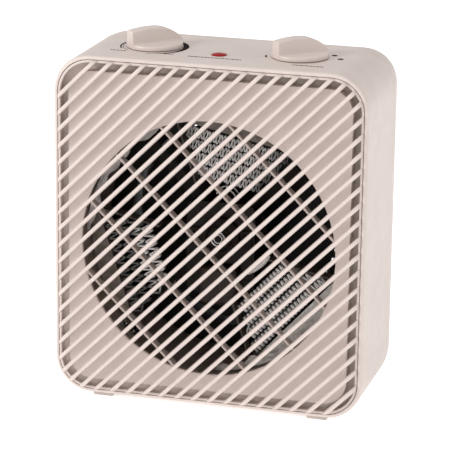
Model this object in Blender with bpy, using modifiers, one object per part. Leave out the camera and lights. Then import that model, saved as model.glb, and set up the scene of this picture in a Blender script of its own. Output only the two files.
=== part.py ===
"""A compact desktop fan heater, as an assembly of separate pieces.

Metres, +Z up. The front, with its slanted grille, faces -Y. The origin is on the surface that the
heater stands on, under the middle of its box. Pieces that turn hang from an empty on their axis.
"""

import math

import bmesh
import bpy
import numpy as np
from mathutils import Matrix, Vector

# Whole body
WIDTH = 0.224
BODY_HEIGHT = 0.246
FOOT_HEIGHT = 0.0045
CORNER = 0.026
FRONT = -0.060  # the plane of the seam between housing and grille
BACK = 0.065
SPLIT = 0.021  # where the rear cover meets the housing
WALL = 0.0026
GAP = 0.0003  # between pieces that touch
TOP = FOOT_HEIGHT + BODY_HEIGHT
MIDDLE = FOOT_HEIGHT + BODY_HEIGHT / 2
CORNER_STEPS = 5
MERGE = 2e-6  # corners this close are one

# Front edge of the housing: it draws in by this much, over this depth
EDGE_IN = 0.0016
EDGE_DEPTH = 0.0028

# Grille
GRILLE_IN = 0.0030
RIM = 0.0018
GROOVE_IN = 0.0105
GROOVE_DEPTH = 0.0085
GRILLE_DEPTH = 0.0105
PLATE = 0.0024
HOLE_RADIUS = 0.0915
FIN_PROUD = 0.005
FIN_THICKNESS = 0.003
FIN_PITCH = 0.012  # measured along X or Z; the fins stand at 45 degrees
RIB_PITCH = 0.0541  # measured along X or Z too
RIB_THICKNESS = 0.0016
RIB_DEPTH = 0.007
RIB_SHIFT = -0.004

# Air axis: hole, duct, element, motor and fan share it
AXIS_Z = 0.119
DUCT_RADIUS = 0.0925
DUCT_WALL = 0.001
DUCT_BACK = 0.008
DUCT_CLEAR = 0.0008  # between the duct's wall and the pieces inside it
SHROUD_FRONT = 0.009
SHROUD_THICKNESS = 0.002
FAN_RADIUS = 0.074
THROAT_RADIUS = FAN_RADIUS + 0.0032
THROAT_BACK = 0.031

# Fan
BLADES = 5
BLADE_SPAN = 64  # degrees that each blade covers at its root
HUB_RADIUS = 0.016
FAN_FRONT = 0.013
FAN_DEPTH = 0.016

# Internal leads
TERMINALS = (0.066, 0.0185, 0.0205)  # the middle of the terminal block
LEAD_RADIUS = 0.0012
LEAD_HOLE_X = 0.085
LEAD_HOLE_Z = 0.222
LEAD_SIDE = 0.0975  # how far out the leads run beside the fan
LEAD_DEPTH = 0.0155

# Heating element: three banks of straight rows, each bank between two radial boards
BANK_ANGLES = (-42, 78, 198)
ROW_PLACES = (0.047, 0.0555, 0.064, 0.0725)  # how far each row is from the air axis
ROW_WIDTH = 0.0074
ROW_FRONT = -0.0385
ROW_THICKNESS = 0.003
LINK_LENGTH = 0.003
BANK_HALF = 30  # degrees from a bank's middle to its boards
BOARD_THICKNESS = 0.0012
BOARD_INNER = 0.041
BOARD_FRONT = -0.043
BOARD_DEPTH = 0.0098
PLATE_CHORD = 0.078  # the outer plate's straight edge, from the air axis

# Motor, from front to back
SHAFT_RADIUS = 0.002
STACK_FRONT = -0.026
STACK_DEPTH = 0.014
STACK_WIDTH = 0.050
ROTOR_RADIUS = 0.0115
MOTOR_FACE = -0.033
SHAFT_END = 0.039

# Controls on the top
KNOB_X = 0.0525
KNOB_Y = -0.016
KNOB_RADIUS = 0.020
KNOB_HEIGHT = 0.0146
SKIRT_HEIGHT = 0.0046
KNOB_HOLLOW = 0.0026
BLADE_THICKNESS = 0.0095
KNOB_TURN = math.radians(45)
STEM_RADIUS = 0.003
LENS_X = -0.002
LENS_Y = -0.028
LENS_RADIUS = 0.0048
SCREW_SHIFTS = (-0.010, 0.010)  # the two screws of each control, beside its stem
THERMOSTAT_SIZE = (0.030, 0.026, 0.018)
SWITCH_SIZE = (0.028, 0.028, 0.016)
TAB_SHIFT = 0.006  # a control's terminals, beside its stem
TAB_REACH = 0.008

# Feet
FOOT_X = 0.079
FOOT_SIZE = 0.015
PEG_RADIUS = 0.0019

# Long screws that hold the rear cover
POST_RADIUS = 0.0048
PILOT_RADIUS = 0.0018
WELL_RADIUS = 0.0034
WELL_FLOOR = 0.004

# Rear cover: air intake and the bush for a mains lead
INTAKE_RADIUS = 0.074
SLOT_HEIGHT = 0.0045
SLOT_PITCH = 0.0095
MULLION = 0.004  # the upright bar between the two columns of slots
GLAND_X = 0.070
GLAND_Z = 0.030
GLAND_RADIUS = 0.0058

PLASTIC = (0.80, 0.74, 0.70)
STEEL = (0.45, 0.43, 0.41)


# Tools ------------------------------------------------------------------------------------------

def clear_scene():
    for obj in list(bpy.data.objects):
        bpy.data.objects.remove(obj, do_unlink=True)


def material(name, colour, roughness, metallic=0.0):
    made = bpy.data.materials.get(name)
    if made is None:
        made = bpy.data.materials.new(name)
        made.use_nodes = True
        shader = made.node_tree.nodes["Principled BSDF"]
        shader.inputs["Base Color"].default_value = (*colour, 1.0)
        shader.inputs["Roughness"].default_value = roughness
        shader.inputs["Metallic"].default_value = metallic
    return made


def add(name, mesh, place=(0, 0, 0), turn=(0, 0, 0)):
    obj = bpy.data.objects.new(name, mesh)
    obj.location = place
    obj.rotation_euler = turn
    PARTS.objects.link(obj)
    return obj


def mesh_from(bm, name):
    mesh = bpy.data.meshes.new(name)
    bm.to_mesh(mesh)
    bm.free()
    return mesh


def bake(obj):
    """Replaces an object's curve or modifiers by the plain mesh they give."""
    graph = bpy.context.evaluated_depsgraph_get()
    mesh = bpy.data.meshes.new_from_object(obj.evaluated_get(graph))
    if obj.type == "MESH":
        obj.modifiers.clear()
        obj.data = mesh
        return obj
    name, matrix = obj.name, obj.matrix_world.copy()
    bm = bmesh.new()
    bm.from_mesh(mesh)
    bmesh.ops.remove_doubles(bm, verts=bm.verts, dist=MERGE)
    bm.to_mesh(mesh)
    bm.free()
    bpy.data.objects.remove(obj, do_unlink=True)
    made = add(name, mesh)
    made.matrix_world = matrix
    return made


def combine(obj, other, operation):
    """Joins, cuts or intersects an object with another, which is used up."""
    bpy.context.view_layer.update()
    step = obj.modifiers.new("combine", "BOOLEAN")
    step.operation = operation
    step.solver = "EXACT"
    step.object = other
    bake(obj)
    bpy.data.objects.remove(other, do_unlink=True)
    bm = bmesh.new()
    bm.from_mesh(obj.data)
    bmesh.ops.remove_doubles(bm, verts=bm.verts, dist=MERGE)
    bmesh.ops.dissolve_degenerate(bm, edges=bm.edges, dist=MERGE)
    bm.to_mesh(obj.data)
    bm.free()
    return obj


def together(name, objects):
    """One mesh object from several that don't touch each other."""
    bm = bmesh.new()
    bpy.context.view_layer.update()
    for obj in objects:
        mesh = obj.data.copy()
        mesh.transform(obj.matrix_world)
        bm.from_mesh(mesh)
        bpy.data.meshes.remove(mesh)
        bpy.data.objects.remove(obj, do_unlink=True)
    return add(name, mesh_from(bm, name))


def box(name, size, centre, turn=(0, 0, 0)):
    bm = bmesh.new()
    bmesh.ops.create_cube(bm, size=1.0)
    bmesh.ops.scale(bm, vec=size, verts=bm.verts)
    return add(name, mesh_from(bm, name), centre, turn)


def rod(name, radius, start, end, segments=24):
    """A cylinder from one point to another."""
    start, end = Vector(start), Vector(end)
    along = end - start
    bm = bmesh.new()
    bmesh.ops.create_cone(
        bm, cap_ends=True, segments=segments, radius1=radius, radius2=radius, depth=along.length
    )
    turn = along.to_track_quat("Z", "Y").to_euler()
    return add(name, mesh_from(bm, name), (start + end) / 2, turn)


AXIAL = (-math.pi / 2, 0, 0)  # turns a piece's own Z to +Y, towards the back
IN_FRONT_VIEW = (math.pi / 2, 0, 0)  # lays a flat outline in the XZ plane


def turned(name, profile, place=(0, 0, 0), turn=(0, 0, 0), steps=32):
    """A profile of (radius, height) points, from the top down its outer side, turned about Z."""
    mesh = bpy.data.meshes.new(name)
    points = [(radius, 0, height) for radius, height in profile]
    closed = profile[0][0] > 0
    edges = [(i, i + 1) for i in range(len(points) - 1)]
    if closed:
        edges.append((len(points) - 1, 0))
    mesh.from_pydata(points, edges, [])
    obj = add(name, mesh, place, turn)
    screw = obj.modifiers.new("turn", "SCREW")
    screw.steps = steps
    screw.render_steps = steps
    screw.use_merge_vertices = True
    screw.merge_threshold = 1e-5
    screw.use_smooth_shade = True
    return bake(obj)


def outline_plate(name, outlines, thickness, place, turn=IN_FRONT_VIEW):
    """A flat plate between outlines: the first is its edge and the others are its holes."""
    curve = bpy.data.curves.new(name, "CURVE")
    curve.dimensions = "2D"
    curve.fill_mode = "BOTH"
    curve.extrude = thickness / 2
    for points in outlines:
        spline = curve.splines.new("POLY")
        spline.points.add(len(points) - 1)
        for point, (x, y) in zip(spline.points, points):
            point.co = (x, y, 0, 1)
        spline.use_cyclic_u = True
    return bake(add(name, curve, place, turn))


def wire(name, points, radius):
    """A round wire along straight pieces between points."""
    curve = bpy.data.curves.new(name, "CURVE")
    curve.dimensions = "3D"
    curve.bevel_depth = radius
    curve.bevel_resolution = 2
    curve.use_fill_caps = True
    spline = curve.splines.new("POLY")
    spline.points.add(len(points) - 1)
    for point, place in zip(spline.points, points):
        point.co = (*place, 1)
    return bake(add(name, curve))


def circle(radius, count, centre=(0, 0)):
    angles = [2 * math.pi * i / count for i in range(count)]
    return [(centre[0] + radius * math.cos(a), centre[1] + radius * math.sin(a)) for a in angles]


def rounded_rectangle(width, height, radius, steps=CORNER_STEPS):
    """Outline points round the middle, anticlockwise, each corner an arc."""
    points = []
    for quarter in range(4):
        a = quarter * math.pi / 2
        side_x = 1 if quarter in (0, 3) else -1
        side_y = 1 if quarter in (0, 1) else -1
        centre_x = side_x * (width / 2 - radius)
        centre_y = side_y * (height / 2 - radius)
        for i in range(steps + 1):
            angle = a + i / steps * math.pi / 2
            points.append((centre_x + radius * math.cos(angle), centre_y + radius * math.sin(angle)))
    return points


def body_outline(inset):
    """The body's outline, drawn in by an inset. Its corners never get tighter than 4 mm."""
    radius = max(CORNER - 0.85 * inset, 0.004)
    return rounded_rectangle(WIDTH - 2 * inset, BODY_HEIGHT - 2 * inset, radius)


def loft(name, sections, front_cap=False, back_cap=False):
    """A skin through body outlines, given as (inset, y) from front to back."""
    bm = bmesh.new()
    rings = []
    for inset, y in sections:
        points = body_outline(inset)
        rings.append([bm.verts.new((x, y, MIDDLE + z)) for x, z in points])
    for ring, following in zip(rings, rings[1:]):
        for i in range(len(ring)):
            j = (i + 1) % len(ring)
            bm.faces.new((ring[j], ring[i], following[i], following[j]))
    if front_cap:
        bm.faces.new(rings[0])
    if back_cap:
        bm.faces.new(rings[-1][::-1])
    bmesh.ops.recalc_face_normals(bm, faces=bm.faces)
    return add(name, mesh_from(bm, name))


def shell(obj, thickness):
    """Gives an open skin its thickness, inwards."""
    step = obj.modifiers.new("wall", "SOLIDIFY")
    step.thickness = thickness
    step.offset = -1
    step.use_even_offset = True
    return bake(obj)


def finish(obj, look):
    obj.data.materials.clear()
    obj.data.materials.append(look)
    obj.data.shade_smooth()
    obj.data.set_sharp_from_angle(angle=math.radians(35))
    return obj


def pivot(name, place):
    empty = bpy.data.objects.new(name, None)
    empty.location = place
    PARTS.objects.link(empty)
    return empty


def hang(obj, empty):
    """Parents a piece to its axis, and leaves it where it is."""
    bpy.context.view_layer.update()
    obj.parent = empty
    obj.matrix_parent_inverse = empty.matrix_world.inverted()


# Casing -----------------------------------------------------------------------------------------

def rear_inset(y):
    """How far the rear cover has drawn in at a depth: a growing taper, then a rounded edge."""
    taper_end = 0.055
    taper = 6.25 * (min(y, taper_end) - SPLIT) ** 2
    if y <= taper_end:
        return max(taper, 0.0)
    rounding = BACK - taper_end
    share = (y - taper_end) / rounding
    return taper + 0.42 * (y - taper_end) + 0.009 * (1 - math.sqrt(max(0.0, 1 - share * share)))


def front_sections():
    """The housing's rounded front edge as a quarter of an ellipse, then its straight side."""
    steps = 3
    arc = []
    for i in range(steps + 1):
        angle = i / steps * math.pi / 2
        arc.append((EDGE_IN * (1 - math.sin(angle)), FRONT + EDGE_DEPTH * (1 - math.cos(angle))))
    return arc + [(0.0, SPLIT - GAP)]


def screw_places():
    """Where the four long screws run, near the body's corners."""
    from_centre = (CORNER - 0.0068) / math.sqrt(2)
    x = WIDTH / 2 - CORNER + from_centre
    z = BODY_HEIGHT / 2 - CORNER + from_centre
    return [(sx * x, MIDDLE + sz * z) for sz in (-1, 1) for sx in (-1, 1)]


def at_screws(name, radius, front, back, segments):
    """A rod at each long screw, as one object."""
    return together(
        name, [rod(name, radius, (x, front, z), (x, back, z), segments) for x, z in screw_places()]
    )


def main_housing(look):
    housing = loft("main_housing", front_sections(), True, True)
    inside = loft("inside", [(WALL, FRONT - 0.01), (WALL, SPLIT + 0.01)], True, True)
    combine(housing, inside, "DIFFERENCE")
    posts = at_screws("posts", POST_RADIUS, -0.012, SPLIT - GAP, 10)
    trim = loft("trim", [(0.001, -0.03), (0.001, SPLIT + 0.01)], True, True)
    combine(housing, combine(posts, trim, "INTERSECT"), "UNION")
    combine(housing, at_screws("bores", PILOT_RADIUS, 0.002, SPLIT + 0.01, 8), "DIFFERENCE")
    holes = [
        (-KNOB_X, KNOB_Y, STEM_RADIUS + 0.001),
        (KNOB_X, KNOB_Y, STEM_RADIUS + 0.001),
        (LENS_X, LENS_Y, LENS_RADIUS + GAP),
    ]
    for side in (-1, 1):
        holes += [(side * KNOB_X + shift, KNOB_Y, PILOT_RADIUS) for shift in SCREW_SHIFTS]
    cutters = [
        rod("hole", radius, (x, y, TOP - 0.01), (x, y, TOP + 0.01), 14) for x, y, radius in holes
    ]
    for x, y in foot_places():
        cutters.append(rod("hole", PEG_RADIUS + GAP, (x, y, 0), (x, y, FOOT_HEIGHT + 0.01), 8))
    combine(housing, together("holes", cutters), "DIFFERENCE")
    return finish(housing, look)


def rear_sections(inset=0.0, shift=0.0):
    depths = [SPLIT, 0.034, 0.044, 0.0515, 0.0565, 0.061, 0.0638, BACK]
    return [(rear_inset(y) + inset, y + shift) for y in depths]


def rear_cover(look):
    cover = shell(loft("rear_cover", rear_sections(), back_cap=True), WALL)
    posts = at_screws("posts", POST_RADIUS, SPLIT + 0.0001, BACK, 12)
    trim = loft("trim", rear_sections(0.0008, -0.002), True, True)
    combine(cover, combine(posts, trim, "INTERSECT"), "UNION")
    combine(cover, at_screws("wells", WELL_RADIUS, SPLIT + WELL_FLOOR, BACK + 0.01, 12), "DIFFERENCE")
    cutters = []
    rows = int(INTAKE_RADIUS / SLOT_PITCH)
    for row in range(-rows, rows + 1):
        half = math.sqrt(INTAKE_RADIUS ** 2 - (row * SLOT_PITCH) ** 2)
        for side in (-1, 1):
            length = half - MULLION / 2
            centre = (side * (MULLION / 2 + length / 2), BACK, AXIS_Z + row * SLOT_PITCH)
            cutters.append(box("slot", (length, 0.02, SLOT_HEIGHT), centre))
    cutters.append(at_screws("bores", PILOT_RADIUS, SPLIT - 0.01, SPLIT + 0.01, 8))
    start, end = (GLAND_X, BACK - 0.015, GLAND_Z), (GLAND_X, BACK + 0.015, GLAND_Z)
    cutters.append(rod("gland_hole", GLAND_RADIUS + GAP, start, end, 20))
    combine(cover, together("cutters", cutters), "DIFFERENCE")
    return finish(cover, look)


def cord_gland(look):
    """A short bush in the rear cover, with a collar behind the wall, for a mains lead."""
    bore, collar = 0.0035, 0.0076
    collar_front, depth = -0.0075, -0.0095
    profile = [
        (bore, 0),
        (GLAND_RADIUS, 0),
        (GLAND_RADIUS, collar_front),
        (collar, collar_front),
        (collar, depth),
        (bore, depth),
    ]
    return finish(turned("cord_gland", profile, (GLAND_X, BACK, GLAND_Z), AXIAL, 20), look)


def front_grille(look):
    grille = loft("front_grille", [(GRILLE_IN, FRONT), (GRILLE_IN, FRONT + GRILLE_DEPTH)], True, True)
    back = FRONT + GRILLE_DEPTH
    inner = GROOVE_IN + 0.002
    pocket = loft("pocket", [(inner, FRONT + PLATE), (inner, back + 0.01)], True, True)
    combine(grille, pocket, "DIFFERENCE")
    groove = outline_plate(
        "groove",
        [body_outline(GRILLE_IN + RIM), body_outline(GROOVE_IN)],
        2 * GROOVE_DEPTH,
        (0, FRONT, MIDDLE),
    )
    combine(grille, groove, "DIFFERENCE")
    hole = rod("hole", HOLE_RADIUS, (0, FRONT - 0.01, AXIS_Z), (0, back, AXIS_Z), 40)
    combine(grille, hole, "DIFFERENCE")
    combine(grille, fins(), "UNION")
    combine(grille, ribs(), "UNION")
    return finish(grille, look)


def slanted(name, offset, thickness, front, back, rise):
    """A long bar in the grille's plane. Along X it crosses the air axis at an offset."""
    size = (2 * BODY_HEIGHT, back - front, thickness)
    centre = (offset / 2, (front + back) / 2, AXIS_Z - rise * offset / 2)
    return box(name, size, centre, (0, -rise * math.pi / 4, 0))


def fins():
    reach = (WIDTH + BODY_HEIGHT) / 2
    count = int(reach / FIN_PITCH)
    bars = []
    for i in range(-count - 1, count + 1):
        offset = (i + 0.5) * FIN_PITCH
        bars.append(slanted("fin", offset, FIN_THICKNESS, FRONT - 0.01, FRONT + 0.0011, 1))
    bars = together("fins", bars)
    edge = GRILLE_IN + 0.0006
    tip = FRONT - FIN_PROUD
    sections = [(edge + 0.0035, tip), (edge, tip + 0.0028), (edge, FRONT + 0.005)]
    envelope = loft("envelope", sections, True, True)
    return combine(bars, envelope, "INTERSECT")


def ribs():
    """Cross ribs behind the fins, over the hole only."""
    bars = []
    for i in range(-2, 3):
        offset = RIB_SHIFT + i * RIB_PITCH
        front = FRONT + 0.0006
        bars.append(slanted("rib", offset, RIB_THICKNESS, front, front + RIB_DEPTH, -1))
    bars = together("ribs", bars)
    start, end = (0, FRONT - 0.01, AXIS_Z), (0, FRONT + 0.02, AXIS_Z)
    return combine(bars, rod("reach", HOLE_RADIUS + 0.0006, start, end, 40), "INTERSECT")


def foot_places():
    front, rear = FRONT + 0.0135, SPLIT - 0.0165
    return [(-FOOT_X, front), (FOOT_X, front), (-FOOT_X, rear), (FOOT_X, rear)]


def foot(name, x, y, look):
    """A pad with a peg that is pushed through the floor of the housing."""
    height = FOOT_HEIGHT - GAP
    pad = box(name, (FOOT_SIZE, FOOT_SIZE * 0.8, height), (x, y, height / 2))
    bevel = pad.modifiers.new("edges", "BEVEL")
    bevel.width = 0.0008
    bevel.segments = 1
    bake(pad)
    peg = rod("peg", PEG_RADIUS, (x, y, FOOT_HEIGHT - 0.001), (x, y, FOOT_HEIGHT + WALL + 0.002), 8)
    return finish(combine(pad, peg, "UNION"), look)


def screw(name, place, direction, head_radius, head_height, shank_radius, length, look):
    """A pan head screw. The place is under its head, and the direction is the way it drives in."""
    profile = [
        (0, head_height),
        (head_radius * 0.75, head_height),
        (head_radius, head_height * 0.45),
        (head_radius, 0),
        (shank_radius, 0),
        (shank_radius, -length + shank_radius),
        (0, -length),
    ]
    turn = (-Vector(direction)).to_track_quat("Z", "Y").to_euler()
    return finish(turned(name, profile, place, turn, 8), look)


# Air path and element ---------------------------------------------------------------------------

def duct_ring(look):
    """A rolled sheet tube, with a narrow lip turned out at the back."""
    front = FRONT + PLATE + GAP
    outer = DUCT_RADIUS + DUCT_WALL
    profile = [
        (DUCT_RADIUS, DUCT_BACK),
        (outer + 0.006, DUCT_BACK),
        (outer + 0.006, DUCT_BACK - DUCT_WALL),
        (outer, DUCT_BACK - DUCT_WALL),
        (outer, front),
        (DUCT_RADIUS, front),
    ]
    return finish(turned("duct_ring", profile, (0, 0, AXIS_Z), AXIAL, 40), look)


def fan_shroud(look):
    """The partition that splits the housing into a cold and a warm side, with the fan's throat."""
    inset = WALL + 0.001
    back = SHROUD_FRONT + SHROUD_THICKNESS
    plate = loft("fan_shroud", [(inset, SHROUD_FRONT), (inset, back)], True, True)
    middle = (SHROUD_FRONT + back) / 2
    throat = rod("throat", THROAT_RADIUS + 0.002, (0, middle, AXIS_Z), (0, THROAT_BACK, AXIS_Z), 36)
    combine(plate, throat, "UNION")
    hole = rod("hole", THROAT_RADIUS, (0, -0.01, AXIS_Z), (0, THROAT_BACK + 0.01, AXIS_Z), 36)
    cutters = [hole, at_screws("clear", 0.0062, -0.01, 0.03, 12)]
    for side in (-1, 1):
        start, end = (side * LEAD_HOLE_X, -0.01, LEAD_HOLE_Z), (side * LEAD_HOLE_X, 0.03, LEAD_HOLE_Z)
        cutters.append(rod("lead_hole", 0.0035, start, end, 12))
    combine(plate, together("cutters", cutters), "DIFFERENCE")
    return finish(plate, look)


def bank_turn(angle):
    """Turns a piece drawn with its outer side up so that this side points along an angle."""
    return (0, math.radians(90 - angle), 0)


def heating_bank(index, angle, look):
    """The space of one ribbon, crimped and folded into four rows that links join at their ends."""
    half_angle = math.radians(BANK_HALF)
    clear = BOARD_THICKNESS / 2 / math.cos(half_angle) + 2 * GAP
    halves = [(place - ROW_WIDTH / 2) * math.tan(half_angle) - clear for place in ROW_PLACES]
    bars = [
        box("row", (2 * half, ROW_THICKNESS, ROW_WIDTH), (0, 0, place))
        for half, place in zip(halves, ROW_PLACES)
    ]
    bank = bars[0]
    bank.name = f"heating_bank_{index}"
    for k, bar in enumerate(bars[1:]):
        side = 1 if k % 2 else -1
        shift = side * (halves[k] - LINK_LENGTH / 2)
        middle = (ROW_PLACES[k] + ROW_PLACES[k + 1]) / 2
        link = box("link", (LINK_LENGTH, ROW_THICKNESS - GAP, 0.003), (shift, 0, middle))
        combine(bank, link, "UNION")
        combine(bank, bar, "UNION")
    bank.data.transform(bank.matrix_world)
    bank.location = (0, ROW_FRONT + ROW_THICKNESS / 2, AXIS_Z)
    bank.rotation_euler = bank_turn(angle)
    return finish(bank, look)


def mica_board(index, angle, look):
    """A radial board that the rows of ribbon are strung from."""
    outer = DUCT_RADIUS - DUCT_CLEAR
    size = (BOARD_THICKNESS, BOARD_DEPTH, outer - BOARD_INNER)
    board = box(f"mica_board_{index}", size, (0, 0, 0))
    board.data.transform(Matrix.Translation((0, 0, (outer + BOARD_INNER) / 2)))
    board.location = (0, BOARD_FRONT + BOARD_DEPTH / 2, AXIS_Z)
    board.rotation_euler = bank_turn(angle)
    return finish(board, look)


def mica_plate(index, angle, look):
    """A plate between a bank's outer row and the duct, with a straight edge and a round one."""
    outer = DUCT_RADIUS - DUCT_CLEAR
    half_angle = math.radians(BANK_HALF)
    clear = BOARD_THICKNESS / 2 / math.cos(half_angle) + 2 * GAP
    half = PLATE_CHORD * math.tan(half_angle) - clear
    sweep = math.asin(half / outer)
    steps = 10
    points = [(-half, PLATE_CHORD), (half, PLATE_CHORD)]
    for i in range(steps + 1):
        a = sweep * (1 - 2 * i / steps)
        points.append((outer * math.sin(a), outer * math.cos(a)))
    place = (0, ROW_FRONT + ROW_THICKNESS / 2, AXIS_Z)
    plate = outline_plate(f"mica_plate_{index}", [points], BOARD_THICKNESS, (0, 0, 0))
    plate.data.transform(plate.matrix_world)
    plate.location = place
    plate.rotation_euler = bank_turn(angle)
    return finish(plate, look)


def thermal_cutout(look):
    """A disc thermostat that opens when the air outlet is blocked, held on the duct's top."""
    y = -0.018
    z = AXIS_Z + DUCT_RADIUS - 0.004
    body = rod("thermal_cutout", 0.008, (0, y, z - 0.010), (0, y, z), 24)
    flange = box("flange", (0.026, 0.010, 0.001), (0, y, z - 0.0015))
    combine(body, flange, "UNION")
    for side in (-1, 1):
        blade = box("blade", (0.001, 0.006, 0.008), (side * 0.004, y, z - 0.013))
        combine(body, blade, "UNION")
    return finish(body, look)


# Motor and fan ----------------------------------------------------------------------------------

def motor_stator(look):
    """A laminated frame: the rotor runs in its bore, and the winding sits on its lower limb."""
    window = [(-0.015, -0.031), (0.015, -0.031), (0.015, -0.019), (-0.015, -0.019)]
    edge = [(x, y - 0.0085) for x, y in rounded_rectangle(STACK_WIDTH, STACK_WIDTH + 0.017, 0.006, 3)]
    bore = circle(ROTOR_RADIUS + 0.0005, 32)
    middle = STACK_FRONT + STACK_DEPTH / 2
    return finish(
        outline_plate("motor_stator", [edge, bore, window], STACK_DEPTH, (0, middle, AXIS_Z)), look
    )


def motor_winding(look):
    """The bobbin of enamelled wire round the stator's lower limb."""
    middle = STACK_FRONT + STACK_DEPTH / 2
    low, high = -0.0495, -0.0215
    height = high - low
    centre_z = AXIS_Z + (low + high) / 2
    bobbin = box("motor_winding", (0.0285, STACK_DEPTH + 0.013, height), (0, middle, centre_z))
    bevel = bobbin.modifiers.new("edges", "BEVEL")
    bevel.width = 0.003
    bevel.segments = 2
    bake(bobbin)
    limb_low, limb_high = -0.0423, -0.0307
    limb = box(
        "limb",
        (0.05, STACK_DEPTH + 2 * GAP, limb_high - limb_low),
        (0, middle, AXIS_Z + (limb_low + limb_high) / 2),
    )
    return finish(combine(bobbin, limb, "DIFFERENCE"), look)


def bearing_bracket(name, face, boss_depth, look):
    """A pressed strap across the stator, with the boss that holds a sleeve bearing.

    Face is the strap's front. The boss points the way of boss_depth's sign.
    """
    strap = box(name, (0.046, 0.0016, 0.012), (0, face + 0.0008, AXIS_Z))
    low, high = sorted((face + 0.0008, face + 0.0008 + boss_depth))
    combine(strap, rod("boss", 0.0078, (0, low, AXIS_Z), (0, high, AXIS_Z), 24), "UNION")
    clear = SHAFT_RADIUS + 0.0002
    bore = rod("bore", clear, (0, low - 0.01, AXIS_Z), (0, high + 0.01, AXIS_Z), 20)
    combine(strap, bore, "DIFFERENCE")
    return finish(strap, look)


def motor_brackets(look):
    front_face = STACK_FRONT - 0.0016 - GAP
    bearing_bracket("motor_front_bracket", front_face, MOTOR_FACE - front_face, look)
    rear_face = STACK_FRONT + STACK_DEPTH + GAP
    bearing_bracket("motor_rear_bracket", rear_face, 0.005, look)


def motor_mount(look):
    """Four flat arms from a ring behind the motor out to the duct's back lip."""
    y = -0.0035
    ring = turned(
        "motor_mount",
        [(0.016, 0.0012), (0.028, 0.0012), (0.028, 0), (0.016, 0)],
        (0, y - 0.0012, AXIS_Z),
        AXIAL,
        32,
    )
    reach = DUCT_RADIUS - DUCT_CLEAR
    arms = []
    for angle in (45, 135, 225, 315):
        direction = Vector((math.cos(math.radians(angle)), 0, math.sin(math.radians(angle))))
        middle = direction * (0.026 + reach) / 2
        arm = box(
            "arm",
            (reach - 0.026, 0.0010, 0.009),
            (middle.x, y - 0.0006, AXIS_Z + middle.z),
            (0, -math.radians(angle), 0),
        )
        arms.append(arm)
    combine(ring, together("arms", arms), "UNION")
    return finish(ring, look)


def motor_rotor(look):
    start = STACK_FRONT + 0.0005
    end = STACK_FRONT + STACK_DEPTH - 0.0005
    profile = [
        (SHAFT_RADIUS + GAP, end - start),
        (ROTOR_RADIUS, end - start),
        (ROTOR_RADIUS, 0),
        (SHAFT_RADIUS + GAP, 0),
    ]
    return finish(turned("motor_rotor", profile, (0, start, AXIS_Z), AXIAL, 28), look)


def motor_shaft(look):
    start = MOTOR_FACE - 0.0005
    shaft = rod("motor_shaft", SHAFT_RADIUS, (0, start, AXIS_Z), (0, SHAFT_END, AXIS_Z), 20)
    return finish(shaft, look)


def fan_blade_mesh(index):
    """A cambered, pitched blade as a grid, its root sunk in the hub."""
    bm = bmesh.new()
    along, across = 4, 3
    bmesh.ops.create_grid(bm, x_segments=along, y_segments=across, size=0.5)
    inner, outer = HUB_RADIUS - 0.001, FAN_RADIUS
    for vert in bm.verts:
        share = vert.co.x + 0.5
        chord = vert.co.y
        radius = inner + (outer - inner) * share
        width = math.radians(BLADE_SPAN - 6 * share)
        angle = chord * width + 2 * math.pi * index / BLADES + 0.18 * share
        pitch = FAN_DEPTH * (0.42 - 0.10 * share)
        camber = 0.0022 * (1 - 4 * chord * chord)
        y = FAN_FRONT + FAN_DEPTH / 2 + 2 * chord * pitch + camber
        vert.co = (radius * math.cos(angle), y, AXIS_Z + radius * math.sin(angle))
    bmesh.ops.recalc_face_normals(bm, faces=bm.faces)
    return mesh_from(bm, "blade")


def fan(look):
    profile = [
        (SHAFT_RADIUS + GAP, FAN_DEPTH),
        (HUB_RADIUS * 0.8, FAN_DEPTH),
        (HUB_RADIUS, FAN_DEPTH * 0.8),
        (HUB_RADIUS, 0),
        (SHAFT_RADIUS + GAP, 0),
    ]
    hub = turned("fan", profile, (0, FAN_FRONT, AXIS_Z), AXIAL, 30)
    blades = []
    for index in range(BLADES):
        blade = add("blade", fan_blade_mesh(index))
        step = blade.modifiers.new("wall", "SOLIDIFY")
        step.thickness = 0.0014
        step.offset = 0
        blades.append(bake(blade))
    combine(hub, together("blades", blades), "UNION")
    return finish(hub, look)


def fan_nut(look):
    start = FAN_FRONT + FAN_DEPTH + GAP
    profile = [
        (SHAFT_RADIUS + GAP, 0.004),
        (0.0045, 0.004),
        (0.0055, 0),
        (SHAFT_RADIUS + GAP, 0),
    ]
    return finish(turned("fan_nut", profile, (0, start, AXIS_Z), AXIAL, 16), look)


# Controls ---------------------------------------------------------------------------------------

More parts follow.
